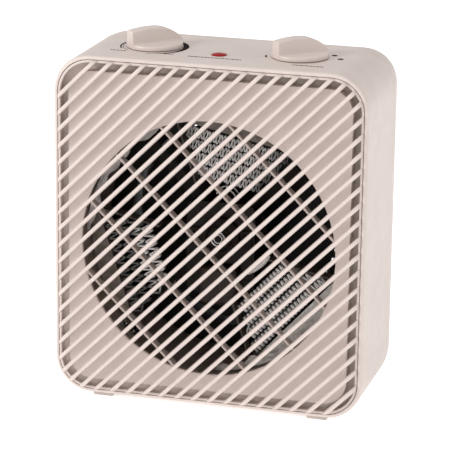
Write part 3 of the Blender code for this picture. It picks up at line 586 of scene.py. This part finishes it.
def slanted_bar(bm, offset, slope, profile, front_at, inside, back, samples):
    """A long bar in the grille's plane. Its ends follow an outline, and its front a surface.

    The profile is (across, height share) points from one foot over the crown to the other.
    """
    half = math.sqrt(0.5)
    along = np.array((half, slope * half))
    across = np.array((half, -slope * half))
    middle = np.array((0.0, AXIS_Z)) + across * offset * half
    starts = [middle + across * u for u, _ in profile]
    ends = spans(starts, along, inside)
    if ends is None or min(last - first for first, last in ends) < 0.004:
        return
    rings = []
    for share in samples:
        ring = []
        for (u, height), start, (first, last) in zip(profile, starts, ends):
            x, z = start + along * (first + (last - first) * share)
            front = front_at(x, z)
            ring.append((x, back + (front - back) * height, z))
        rings.append(ring)
    skin(bm, rings, False, True, True)


def mirrored(points):
    """A bar's section: the points on one side of its crown, then the same ones mirrored."""
    return points + [(-u, height) for u, height in reversed(points)]


def fin_inside(x, z):
    return rounded_distance(x, z, RIM_IN + 0.0002)


def fin_front(x, z):
    depth = float(fin_inside(x, z))
    share = min(max(1 - depth / FIN_FALL, 0.0), 1.0)
    return GRILLE_LOW.y + (FRONT - GRILLE_LOW.y) * (1 - math.sqrt(1 - share * share))


def outlet_inside(x, z):
    return HOLE_RADIUS + 0.0006 - np.hypot(x, z - AXIS_Z)


def grille_frame():
    """The grille's rim, its groove and the plate round the outlet, as one closed skin."""
    back = GRILLE_HIGH.y
    plate_back = FRONT + 0.0024
    lip = 0.0010
    loops = [
        body_loop(RIM_IN, back),
        body_loop(RIM_IN, FRONT + 0.0004),
        body_loop(RIM_IN + 0.0003, FRONT + 0.0001),
        body_loop(RIM_IN + 0.0014, FRONT + 0.0001),
        body_loop(RIM_IN + 0.0018, FRONT + 0.0005),
        groove_loop(RIM_IN + 0.0020, -0.0005),
        groove_loop(RIM_IN + 0.0025, 0.0),
        groove_loop(GROOVE_IN - 0.0006, 0.0),
        groove_loop(GROOVE_IN - 0.0001, -0.0005),
        body_loop(GROOVE_IN, FRONT + 0.0008),
        body_loop(GROOVE_IN + 0.0002, FRONT + 0.0002),
        body_loop(GROOVE_IN + 0.0008, FRONT),
        hole_loop(HOLE_RADIUS + 2 * lip, FRONT),
    ]
    for i in range(5):
        angle = i / 4 * math.pi / 2
        radius = HOLE_RADIUS + lip * (1 - math.sin(angle))
        loops.append(hole_loop(radius, FRONT + lip * (1 - math.cos(angle))))
    loops += [
        hole_loop(HOLE_RADIUS, plate_back - 0.0003),
        hole_loop(HOLE_RADIUS + 0.0003, plate_back),
        body_loop(GROOVE_IN + 0.0020, plate_back),
        body_loop(GROOVE_IN + 0.0020, back),
    ]
    bm = bmesh.new()
    skin(bm, loops)
    return outward(bm)


def grille_fins():
    """The slanted fins, right across the face."""
    base, crown = 0.0016, 0.0012  # half their thickness at the foot and at the crown
    profile = mirrored([(-base, 0.0), (-crown, 0.90), (-crown * 0.75, 0.97), (-crown * 0.3, 1.0)])
    end_steps = [0.0, 0.002, 0.006, 0.012, 0.02, 0.035, 0.06, 0.12]
    samples = end_steps + [0.25, 0.5, 0.75] + [1 - step for step in reversed(end_steps)]
    reach = int((WIDTH + HEIGHT) / 2 / FIN_PITCH)
    fins = bmesh.new()
    for i in range(-reach - 1, reach + 1):
        offset = (i + 0.5) * FIN_PITCH
        slanted_bar(fins, offset, 1, profile, fin_front, fin_inside, FRONT + 0.0011, samples)
    return outward(fins)


def grille_ribs():
    """The ribs behind the fins, which lean the other way and cross only the outlet."""
    front = FRONT + 0.0006
    profile = mirrored([(-0.0007, 0.0), (-0.0009, 0.92), (-0.0006, 0.98), (-0.0002, 1.0)])
    samples = [0.0, 0.25, 0.5, 0.75, 1.0]
    ribs = bmesh.new()
    for i in range(-2, 3):
        slanted_bar(
            ribs, RIB_SHIFT + i * RIB_PITCH, -1, profile, lambda x, z: front, outlet_inside,
            front + RIB_DEPTH, samples,
        )
    return outward(ribs)


def front_grille():
    bm = grille_frame()
    merge(bm, grille_fins())
    merge(bm, grille_ribs())
    made = piece("slanted_grille", bm, casing)
    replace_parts(made, "front_grille")


def feet():
    """Four rubber pads with ribs underneath, a little narrower at the floor."""
    top = TOP - HEIGHT - 0.0003
    for name in ("foot_front_left", "foot_front_right", "foot_rear_left", "foot_rear_right"):
        low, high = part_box(name)
        centre = Vector(((low.x + high.x) / 2, (low.y + high.y) / 2, top / 2))
        bm = box_mesh((high.x - low.x, high.y - low.y, top), centre, None, 0.0007)
        for shift in (-0.0045, -0.0015, 0.0015, 0.0045):
            rib = box_mesh((0.0012, 0.0095, 0.0004), (centre.x + shift, centre.y, 0.0002))
            merge(bm, rib)
        for vert in bm.verts:
            taper = 1 - 0.05 * (1 - vert.co.z / top)
            vert.co.x = centre.x + (vert.co.x - centre.x) * taper
            vert.co.y = centre.y + (vert.co.y - centre.y) * taper
        lowest = min(vert.co.z for vert in bm.verts)
        bmesh.ops.translate(bm, vec=(0, 0, -lowest), verts=bm.verts)
        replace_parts(piece(f"{name}_pad", bm, rubber), name)


def pan_screw(name, replaced):
    """A pan head screw with a cross recess. It faces +Y."""
    low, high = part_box(replaced)
    centre = (low + high) / 2
    radius = (high.x - low.x) / 2
    profile = [
        (0.0015, low.y),
        (0.0015, high.y - 0.0022),
        (radius, high.y - 0.0022),
        (radius, high.y - 0.0010),
        (radius * 0.8, high.y - 0.0003),
        (radius * 0.45, high.y),
    ]
    made = piece(name, revolve(profile, (centre.x, 0, centre.z), 32), zinc)
    for angle in (0.4, 0.4 + math.pi / 2):
        turn = Matrix.Rotation(angle, 3, "Y")
        cut(made, box_mesh((0.0032, 0.0024, 0.0007), (centre.x, high.y, centre.z), turn))
    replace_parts(made, replaced)


def cord_gland():
    """The bush in the rear cover: a ring with a flange inside."""
    low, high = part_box("cord_gland")
    centre = (low + high) / 2
    profile = [
        (0.0036, high.y - 0.0002),
        (0.0040, high.y),
        (0.0054, high.y),
        (0.0058, high.y - 0.0004),
        (0.0058, high.y - 0.0075),
        (0.0076, high.y - 0.0075),
        (0.0076, low.y),
        (0.0036, low.y),
    ]
    bush = revolve(profile, (centre.x, 0, centre.z), 40, "y", True)
    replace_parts(piece("gland_bush", bush, black), "cord_gland")


# Air path ---------------------------------------------------------------------------------------

def duct():
    """The round duct: a rolled sheet with a lap seam below and a flange at its back."""
    front, back = DUCT_LOW.y, DUCT_HIGH.y
    outer = DUCT_INNER + 0.001
    profile = [(DUCT_INNER + 0.0003, front), (DUCT_INNER, front + 0.0003)]
    for share in (0.15, 0.3, 0.45, 0.6, 0.75, 0.9):
        profile.append((DUCT_INNER, front + (back - front) * share))
    profile += [
        (DUCT_INNER, back - 0.0012),
        (DUCT_INNER + 0.0004, back - 0.0004),
        (DUCT_INNER + 0.0012, back),
        (outer + 0.006, back),
        (outer + 0.006, back - 0.001),
        (outer, back - 0.001),
        (outer, front),
    ]
    bm = revolve(profile, (0, 0, AXIS_Z), 128, "y", True)
    angle = math.radians(-97)
    turn = Matrix.Rotation(-angle - math.pi / 2, 3, "Y")
    place = Vector((math.cos(angle), 0, math.sin(angle))) * (DUCT_INNER - 0.0002)
    centre = (place.x, (front + back) / 2, AXIS_Z + place.z)
    merge(bm, box_mesh((0.007, back - front - 0.004, 0.0008), centre, turn, 0.0002))
    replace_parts(piece("air_duct", bm, duct_steel), "duct_ring")


def rivet(angle, y):
    """A small domed head on a tab, facing the air axis."""
    profile = [(0.0002, 0.0011), (0.0008, 0.0009), (0.0011, 0.0003), (0.0011, -0.0002)]
    head = revolve(profile, (0, 0, 0), 12, "z")
    facing = Vector((-math.cos(angle), 0, -math.sin(angle)))
    spin = facing.to_track_quat("Z", "Y").to_matrix().to_4x4()
    spot = Vector((math.cos(angle), 0, math.sin(angle))) * TAB_INNER + Vector((0, y, AXIS_Z))
    bmesh.ops.transform(head, matrix=Matrix.Translation(spot) @ spin, verts=head.verts)
    return head


def duct_tabs():
    """Small curved tabs that hold the element's boards to the duct, each with three rivets."""
    front, back = -0.0495, -0.0350
    corners = ((TAB_OUTER, front), (TAB_OUTER, back), (TAB_INNER, back), (TAB_INNER, front))
    steps = 6
    tabs = bmesh.new()
    for degrees, width in TABS:
        angle = math.radians(degrees)
        half = width / TAB_OUTER / 2
        loops = []
        for i in range(steps + 1):
            a = angle - half + 2 * half * i / steps
            loops.append([(r * math.cos(a), y, AXIS_Z + r * math.sin(a)) for r, y in corners])
        merge(tabs, loft(loops))
        for i in (-1, 0, 1):
            merge(tabs, rivet(angle + i * half * 0.55, -0.0445))
    piece("element_brackets", tabs, zinc)


BANKS = (
    # node, its middle's angle in degrees, spacing of the strokes, strands, thickness
    ("heating_bank_1", -42, 0.0018, 1, 0.0009),
    ("heating_bank_2", 78, 0.0024, 2, 0.0007),
    ("heating_bank_3", 198, 0.0024, 1, 0.0010),
)
ROW_PLACES = (0.047, 0.0555, 0.064, 0.0725)  # how far each row is from the air axis
ROW_SWING = 0.0034
PAINTED_LIT_SECTORS = ((-74, -14), (66, 100), (176, 216))  # degrees where the ribbon is left bright as lit; outside them it gets painted shade


def painted_shade_at(x, z):
    """How much painted shade darkens the ribbon: 0 is bright and 1 is black."""
    angle = math.degrees(math.atan2(z - AXIS_Z, x))
    darkest = 1.0
    for low, high in PAINTED_LIT_SECTORS:
        middle, half = (low + high) / 2, (high - low) / 2
        off = abs((angle - middle + 180) % 360 - 180) - half
        darkest = min(darkest, min(max(off / 14, 0.0), 1.0))
    # Painted shade on the third bank's outer rows.
    if 140 < angle % 360 < 250 and math.hypot(x, z - AXIS_Z) > 0.060:
        return 0.9
    return 0.9 * darkest


def bank_point(angle, along, out):
    """A point of a bank: along its rows, and out from the air axis."""
    a = math.radians(angle)
    x = out * math.cos(a) + along * math.sin(a)
    z = out * math.sin(a) - along * math.cos(a)
    return Vector((x, z))


def ribbon_path(angle, spacing, flip):
    """The crimped path of one strand, strung to and fro in four rows between the boards."""
    bend = ((-0.16, 0.92), (-0.06, 1.0), (0.06, 1.0), (0.16, 0.92))
    points = []
    for row, place in enumerate(ROW_PLACES):
        half = (place - 0.0037) * math.tan(math.radians(30)) - 0.0022
        strokes = 2 * round(half / spacing) + 1
        step = 2 * half / strokes
        way = -1 if row % 2 else 1
        for i in range(strokes + 1):
            side = 1 if (i + flip) % 2 else -1
            for shift, reach in bend:
                along = way * (half - step * (i + shift))
                points.append(bank_point(angle, along, place + side * reach * ROW_SWING))
    return points


def strip(points, y_front, y_back, thickness):
    """A thin ribbon on edge along a path of (x, z) points, its flat side along Y."""
    loops = []
    last = len(points) - 1
    for i, point in enumerate(points):
        tangent = (points[min(i + 1, last)] - points[max(i - 1, 0)]).normalized()
        side = Vector((-tangent.y, tangent.x)) * thickness / 2
        ring = []
        for offset, y in ((side, y_front), (side, y_back), (-side, y_back), (-side, y_front)):
            spot = point + offset
            ring.append((spot.x, y, AXIS_Z + spot.y))
        loops.append(ring)
    return loft(loops)


def element():
    """Three banks of crimped ribbon. The upper one is two strands that cross."""
    for name, angle, spacing, strands, thickness in BANKS:
        low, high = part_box(name)
        depth = (high.y - low.y) / strands
        bm = bmesh.new()
        for strand in range(strands):
            y = low.y + strand * depth
            path = ribbon_path(angle, spacing, strand)
            merge(bm, strip(path, y, y + depth - 0.0001, thickness))
        made = piece(f"{name}_ribbon", bm, ribbon, "casing", 25)
        # Painted shade for each point, kept as an attribute.
        painted_shade = made.data.attributes.new("painted_shade", "FLOAT", "POINT")
        painted_shade.data.foreach_set("value", [painted_shade_at(v.co.x, v.co.z) for v in made.data.vertices])
        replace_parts(made, name)


def tube(points, radius_at, steps):
    """A round tube along a path of points. Its radius may change with the share of the way."""
    loops = []
    last = len(points) - 1
    for i, point in enumerate(points):
        tangent = (points[min(i + 1, last)] - points[max(i - 1, 0)]).normalized()
        across = tangent.cross(Vector((0, 1, 0))).normalized()
        up = across.cross(tangent)
        radius = radius_at(i / last)
        ring = []
        for k in range(steps):
            a = 2 * math.pi * k / steps
            ring.append(point + radius * (math.cos(a) * across + math.sin(a) * up))
        loops.append(ring)
    return loft(loops)


def painted_reflection_strips():
    """Two wavy bright strips inside the duct's mouth: painted reflections in the duct's wall."""
    steps = 90
    reflection_strips = bmesh.new()
    for first, last, phase in ((114, 178, 0.0), (-88, -36, 1.3)):
        loops = []
        for i in range(steps + 1):
            share = i / steps
            a = math.radians(first + (last - first) * share)
            fade = min(share, 1 - share, 0.15) / 0.15
            waves = 0.0016 * math.sin(17 * share + phase) + 0.0008 * math.sin(41 * share)
            reach = (0.0040 + waves) * fade
            ring = []
            for k, y in enumerate((-0.0494, -0.0475, -0.0455, -0.0438)):
                ripple = 0.0007 * math.sin(23 * share + 1.9 * k + phase)
                radius = HOLE_RADIUS - reach * k / 3 - (ripple if k else 0)
                ring.append((min(radius, HOLE_RADIUS + 0.0001), y))
            ring += [(radius - 0.0003, y) for radius, y in reversed(ring)]
            loops.append([(r * math.cos(a), y, AXIS_Z + r * math.sin(a)) for r, y in ring])
        merge(reflection_strips, loft(loops))
    piece("painted_reflection_foil", reflection_strips, reflection_foil)


def lead_sleeve():
    """The white woven sleeve on the first bank's lead, with a bead for each turn of its weave."""
    start = Vector((0.0240, -0.0470, AXIS_Z - 0.0180))
    end = Vector((0.0410, -0.0470, AXIS_Z - 0.0035))
    bulge = Vector((0.0012, 0, -0.0014))
    steps = 72
    points = []
    for i in range(steps + 1):
        share = i / steps
        points.append(start.lerp(end, share) + bulge * math.sin(math.pi * share))

    def woven(share):
        ends = min(share, 1 - share) / 0.12
        body = 0.0022 * min(1.0, 0.62 + 0.38 * ends)
        return body * (1 + 0.06 * math.cos(2 * math.pi * 18 * share))

    piece("element_lead_sleeve", tube(points, woven, 20), sleeve_glass)


def wire_loops():
    """Two bright loops of bare wire by the second bank."""
    steps = 24
    loops = bmesh.new()
    for radius, first, last, y in ((0.0085, 30, 165, -0.0345), (0.0060, 20, 200, -0.0360)):
        path = []
        for i in range(steps + 1):
            a = math.radians(first + (last - first) * i / steps)
            x, z = 0.0075 + radius * math.cos(a), AXIS_Z + 0.0315 + radius * math.sin(a)
            path.append(Vector((x, y, z)))
        merge(loops, tube(path, lambda share: 0.0006, 8))
    piece("element_wire_loops", loops, zinc)


def motor_front():
    """The front bearing: a pressed strap, a dark dished cover and bright retainer rings."""
    low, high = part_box("motor_front_bracket")
    face = low.y
    centre = (0, 0, AXIS_Z)
    bm = box_mesh((0.046, 0.0014, 0.012), (0, high.y - 0.0008, AXIS_Z), None, 0.0004)
    head = [(0.0004, high.y - 0.0042), (0.0026, high.y - 0.0036), (0.003, high.y - 0.0014)]
    for side in (-1, 1):
        merge(bm, revolve(head, (side * 0.0185, 0, AXIS_Z), 24))
    made = piece("bearing_strap", bm, stator_steel)
    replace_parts(made, "motor_front_bracket")
    profile = [
        (0.0050, face + 0.0012),
        (0.0078, face + 0.0006),
        (0.0092, face + 0.0018),
        (0.0100, face + 0.0008),
        (0.0125, face + 0.0012),
        (0.0146, face + 0.0026),
        (0.0150, face + 0.0045),
        (0.0050, face + 0.0045),
    ]
    cover = revolve(profile, centre, 64, "y", True)
    piece("bearing_cover", cover, stator_steel)
    rings = bmesh.new()
    for radius, half in ((0.0049, 0.0008), (0.0029, 0.0006)):
        profile = []
        for i in range(10):
            angle = 2 * math.pi * i / 10
            y = face - 0.0003 + half * math.sin(angle)
            profile.append((radius + half * math.cos(angle), y))
        merge(rings, revolve(profile, centre, 48, "y", True))
    piece("bearing_rings", rings, zinc)


def fan_blade(bm, index, hub):
    """One cambered, twisted blade: a skin on each side, joined by a border all round."""
    along, across = 12, 8
    middle = FAN_LOW.y + (FAN_HIGH.y - FAN_LOW.y) / 2
    sides = []
    for side in (-1, 1):
        grid = []
        for i in range(along + 1):
            share = i / along
            radius = hub - 0.001 + (FAN_HIGH.x - hub + 0.001) * share
            width = math.radians(78 - 2 * share)
            pitch = 0.016 * (0.42 - 0.10 * share)
            row = []
            for j in range(across + 1):
                chord = j / across - 0.5
                angle = chord * width + 2 * math.pi * index / 5 + 0.18 * share
                thickness = 0.0002 + 0.0005 * (1 - (2 * chord) ** 6)
                y = middle + 2 * chord * pitch + 0.0022 * (1 - 4 * chord * chord)
                y += side * thickness
                x, z = radius * math.cos(angle), AXIS_Z + radius * math.sin(angle)
                row.append(bm.verts.new((x, y, z)))
            grid.append(row)
        sides.append(grid)
    for grid in sides:
        for i in range(along):
            for j in range(across):
                bm.faces.new((grid[i][j], grid[i][j + 1], grid[i + 1][j + 1], grid[i + 1][j]))
    low, high = sides
    border = [(0, j) for j in range(across)] + [(i, across) for i in range(along)]
    border += [(along, j) for j in range(across, 0, -1)] + [(i, 0) for i in range(along, 0, -1)]
    for (a, b), (c, d) in zip(border, border[1:] + border[:1]):
        bm.faces.new((low[a][b], low[c][d], high[c][d], high[a][b]))


def fan():
    """A hub with a hole for the shaft, and five blades."""
    front, depth = FAN_LOW.y, FAN_HIGH.y - FAN_LOW.y
    bore, hub = 0.0023, 0.016
    profile = [
        (bore, front + depth),
        (hub * 0.72, front + depth),
        (hub * 0.80, front + depth - 0.0003),
        (hub * 0.97, front + depth * 0.84),
        (hub, front + depth * 0.78),
        (hub, front + 0.0004),
        (hub - 0.0004, front),
        (bore, front),
    ]
    bm = revolve(profile, (0, 0, AXIS_Z), 60, "y", True)
    for index in range(5):
        fan_blade(bm, index, hub)
    made = piece("fan_wheel", outward(bm), black, "fan_rotor")
    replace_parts(made, "fan")


# Controls ---------------------------------------------------------------------------------------

def floor_height(u, v, radius):
    """The height of a knob's skirt, which falls a little towards its edge."""
    r = min(math.hypot(u, v) / radius, 1.0)
    return KNOB_FLOOR + 0.0008 * (1 - r ** 2.2)


def blade_height(v, reach, top):
    """The height of a knob's blade: level in front, and falling to the skirt at the back."""
    if v < BLADE_CREST:
        return top - 0.0017 * ((BLADE_CREST - v) / (reach + BLADE_CREST)) ** 2
    share = (v - BLADE_CREST) / (reach - BLADE_CREST)
    return top - (top - KNOB_FLOOR - 0.0024) * share ** 2.5


def knob_section(v, radius, reach, top):
    """Points (across, up) from the skirt's edge up to the blade's middle, at a place along it."""
    edge = max(math.sqrt(max(radius ** 2 - v * v, 0)) + 1e-5, BLADE_HALF + 0.0002)
    room = edge - BLADE_HALF
    fillet = min(0.0011, room * 0.7)
    rim = floor_height(edge, v, radius)
    round_in = min(0.0009, room * 0.2)
    inner = edge - round_in
    points = [
        (edge - 0.0002, 0.0),
        (edge, 0.0004),
        (edge - 0.0002, rim - 0.0012),
        (edge - 0.4 * round_in, rim - 0.0004),
        (inner, floor_height(inner, v, radius)),
    ]
    for i in range(1, 6):
        u = inner - (inner - BLADE_HALF - fillet) * i / 5
        points.append((u, floor_height(u, v, radius)))
    base = floor_height(BLADE_HALF + fillet, v, radius)
    crown = blade_height(v, reach, top)
    rise = min(0.0011, (crown - base) * 0.4)
    for i in range(1, 6):
        angle = i / 5 * math.pi / 2
        u = BLADE_HALF + fillet * (1 - math.sin(angle))
        points.append((u, base + rise * (1 - math.cos(angle))))
    soft = 0.0011
    for i in range(6):
        angle = i / 5 * math.pi / 2
        u = BLADE_HALF - 0.0003 - soft * (1 - math.cos(angle))
        points.append((u, crown - soft * (1 - math.sin(angle))))
    points.append((0.0, crown + 0.00005))
    return points


def knob(name, node, body):
    """A round skirt with a tall grip blade across it and a shallow recess underneath."""
    low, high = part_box(node)
    centre = Vector(((low.x + high.x) / 2, (low.y + high.y) / 2, low.z))
    radius = (high.x - low.x) / 2
    reach = radius * 0.972
    steps = 36
    bm = bmesh.new()
    rows = []
    for i in range(steps + 1):
        v = -reach * math.cos(math.pi * i / steps)
        right = knob_section(v, radius, reach, high.z - low.z)
        left = [(-u, z) for u, z in reversed(right[:-1])]
        rows.append([bm.verts.new((u, v, z)) for u, z in right + left])
    for row, following in zip(rows, rows[1:]):
        for i in range(len(row) - 1):
            bm.faces.new((row[i], row[i + 1], following[i + 1], following[i]))
    ends = [bm.faces.new(rows[0]), bm.faces.new(rows[-1])]
    rim = [row[0] for row in rows] + [row[-1] for row in reversed(rows)]
    scale = (radius - 0.0018) / radius
    chain = [rim]
    for height in (0.0, 0.0019):
        loop = [bm.verts.new((vert.co.x * scale, vert.co.y * scale, height)) for vert in rim]
        chain.append(loop)
    for loop, following in zip(chain, chain[1:]):
        for i in range(len(loop)):
            j = (i + 1) % len(loop)
            bm.faces.new((loop[i], loop[j], following[j], following[i]))
    bm.faces.new(chain[-1])
    outward(bm)
    upper = [edge for end in ends for edge in end.edges if max(v.co.z for v in edge.verts) > 0.005]
    bmesh.ops.bevel(
        bm, geom=upper, offset=0.0007, segments=3, profile=0.5, affect="EDGES", clamp_overlap=True
    )
    turn = Matrix.Translation(centre) @ Matrix.Rotation(math.radians(-45), 4, "Z")
    bmesh.ops.transform(bm, matrix=turn, verts=bm.verts)
    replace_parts(piece(name, bm, knob_plastic, body, 40), node)


def lens():
    low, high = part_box("indicator_lens")
    centre = (low + high) / 2
    radius = (high.x - low.x) / 2
    flange = radius * 1.17
    profile = [(radius - 0.0002, low.z), (radius - 0.0002, TOP + 0.0001), (flange, TOP + 0.0001)]
    profile.append((flange * 0.99, TOP + 0.0004))
    for share in (0.92, 0.8, 0.62, 0.4, 0.2):
        profile.append((flange * share, TOP + 0.0005 + 0.0010 * (1 - share ** 2)))
    made = piece("pilot_lens", revolve(profile, (centre.x, centre.y, 0), 48, "z"), red)
    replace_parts(made, "indicator_lens")


def flat_print(name, patches):
    """Thin printed patches on the top: each is a list of (x, y) points."""
    bm = bmesh.new()
    low, high = TOP - 0.00005, TOP + 0.00004
    for patch in patches:
        merge(bm, loft([[(x, y, z) for x, y in patch] for z in (low, high)]))
    piece(name, bm, print_black)


def disc_patch(x, y, radius, steps=16):
    angles = [2 * math.pi * i / steps for i in range(steps)]
    return [(x + radius * math.cos(a), y + radius * math.sin(a)) for a in angles]


def bar_patch(x, y, length, width, turn=0.0):
    c, s = math.cos(turn), math.sin(turn)
    corners = ((-1, -1), (1, -1), (1, 1), (-1, 1))
    return [
        (x + c * i * length / 2 - s * j * width / 2, y + s * i * length / 2 + c * j * width / 2)
        for i, j in corners
    ]


def dashes(start, end, y):
    """Plain short bars of two lengths in a row."""
    patches = []
    x, index = start, 0
    while x < end:
        length = 0.0022 if index % 3 else 0.0012
        patches.append(bar_patch(x + length / 2, y, length, 0.0017))
        x += length + 0.0006
        index += 1
    return patches


def ring_patch(x, y, start, end, outer, inner_start, inner_end):
    """A short piece of a ring between two angles in degrees, with an inner radius at each."""
    patch = []
    for degrees, radius in ((start, outer), (end, outer), (end, inner_end), (start, inner_start)):
        angle = math.radians(degrees)
        patch.append((x + radius * math.cos(angle), y + radius * math.sin(angle)))
    return patch


def wedge(angle):
    """The thermostat ring's width at an angle in degrees: widest at the right, thin at the left."""
    if angle > 5:
        return 0.0008 + 0.0034 * (1 - (angle - 5) / 210)
    return 0.0006 + 0.0032 * max(0.0, 1 - ((5 - angle) / 80) ** 1.3)


def dial_prints():
    """The thermostat's wedge ring and the plain marks round both knobs."""
    low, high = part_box("thermostat_knob")
    x, y = (low.x + high.x) / 2, (low.y + high.y) / 2
    outer = 0.0243
    steps = 96
    start, end = 215.0, -88.0
    marks = []
    for i in range(steps):
        a = start + (end - start) * i / steps
        b = start + (end - start) * (i + 1) / steps
        marks.append(ring_patch(x, y, a, b, outer, outer - wedge(a), outer - wedge(b)))
    for i in range(24):
        a = 170 + i * 2.5
        b = 172.5 + i * 2.5
        marks.append(ring_patch(x, y, a, b, 0.0222, 0.0218, 0.0218))
    marks += dashes(x - 0.0260, x - 0.0160, y - 0.0202)
    marks += dashes(x + 0.0115, x + 0.0200, y - 0.0205)
    marks += dashes(-0.0215, 0.0165, -0.0385)
    low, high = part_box("mode_switch_knob")
    x, y = (low.x + high.x) / 2, (low.y + high.y) / 2
    marks.append(disc_patch(x + 0.0217, y + 0.0122, 0.0021))
    marks.append(disc_patch(x + 0.0283, y + 0.0022, 0.0022))
    marks.append(bar_patch(x - 0.0228, y - 0.0050, 0.0013, 0.0060, 0.25))
    marks += dashes(x + 0.0015, x + 0.0215, y - 0.0255)
    flat_print("dial_marks", marks)


# Nodes kept from the CAD, with better finishes ---------------------------------------------------

KEPT = (
    (zinc, (
        "motor_rear_bracket", "fan_nut", "thermostat_stem", "mode_switch_stem",
        "thermostat_screw_1", "thermostat_screw_2", "mode_switch_screw_1", "mode_switch_screw_2",
    )),
    (board_mica, [f"mica_board_{i}" for i in range(1, 7)]),
    (mica, ("mica_plate_1",)),
    (darker_mica, ("mica_plate_2", "mica_plate_3")),
    (stator_steel, ("motor_stator", "motor_rotor", "motor_shaft", "motor_mount")),
    (black, ("fan_shroud",)),
    (phenolic, ("thermal_cutout", "thermostat_body", "mode_switch_body", "terminal_block")),
    # The winding's finish is painted shade.
    (shaded_copper, ("motor_winding",)),
    (glass, ("indicator_lamp",)),
    (insulation, ("lead_live", "lead_neutral", "lead_bridge")),
)


def dress_kept_nodes():
    for look, names in KEPT:
        for name in names:
            for place in NODES[name].material_slots:
                place.material = look


# Studio -----------------------------------------------------------------------------------------

def area_light(name, place, aim, size, power):
    data = bpy.data.lights.new(name, "AREA")
    data.shape = "SQUARE"
    data.size = size
    data.energy = power
    light = add(name, data)
    light.location = place
    light.rotation_mode = "QUATERNION"
    light.rotation_quaternion = (Vector(aim) - Vector(place)).to_track_quat("-Z", "Y")


def studio():
    floor_mesh = bpy.data.meshes.new("floor")
    span = 12
    corners = [(-span, -span, 0), (span, -span, 0), (span, span, 0), (-span, span, 0)]
    floor_mesh.from_pydata(corners, [], [(0, 1, 2, 3)])
    floor = add("floor", floor_mesh)
    white = finish("floor_white", (0.93, 0.93, 0.93), 0.6, mottle=(3, 0.005), spread=0.02)
    glow = white.node_tree.nodes["Principled BSDF"]
    glow.inputs["Emission Color"].default_value = (1, 1, 1, 1)
    glow.inputs["Emission Strength"].default_value = 0.5
    floor_mesh.materials.append(white)

    world = bpy.data.worlds.new("studio")
    bpy.context.scene.world = world
    world.use_nodes = True
    background = world.node_tree.nodes["Background"]
    background.inputs["Color"].default_value = (1.0, 1.0, 1.0, 1.0)
    background.inputs["Strength"].default_value = 0.62
    middle = (0, 0, 0.13)
    area_light("key", (-1.9, -1.9, 1.1), middle, 0.8, 42)
    area_light("top", (-0.3, -0.2, 2.4), middle, 1.0, 13)
    area_light("side", (2.7, -0.7, 0.9), middle, 0.8, 15)


def camera():
    """Seen from the front, a little to the right and above, with a slight roll."""
    azimuth, elevation, roll = math.radians(15.91), math.radians(16.37), 0.01227
    back = Vector((
        math.sin(azimuth) * math.cos(elevation),
        -math.cos(azimuth) * math.cos(elevation),
        math.sin(elevation),
    ))
    right = Vector((0, 0, 1)).cross(back).normalized()
    up = back.cross(right)
    rolled_right = math.cos(roll) * right + math.sin(roll) * up
    rolled_up = -math.sin(roll) * right + math.cos(roll) * up
    data = bpy.data.cameras.new("camera")
    data.sensor_width = 36
    data.lens = 201.4
    made = add("camera", data)
    turn = Matrix((rolled_right, rolled_up, back)).transposed().to_4x4()
    made.matrix_world = Matrix.Translation((0.4700, -1.6639, 0.6282)) @ turn
    bpy.context.scene.camera = made


main_housing()
rear_cover()
front_grille()
feet()
for index in range(1, 5):
    pan_screw(f"rear_screw_{index}", f"cover_screw_{index}")
cord_gland()
duct()
duct_tabs()
# Painted reflections inside the duct's mouth.
painted_reflection_strips()
element()
lead_sleeve()
wire_loops()
motor_front()
fan()
knob("thermostat_dial_knob", "thermostat_knob", "thermostat_dial")
knob("mode_dial_knob", "mode_switch_knob", "mode_dial")
lens()
dial_prints()
dress_kept_nodes()
studio()
camera()
bpy.context.scene.view_settings.view_transform = "Standard"
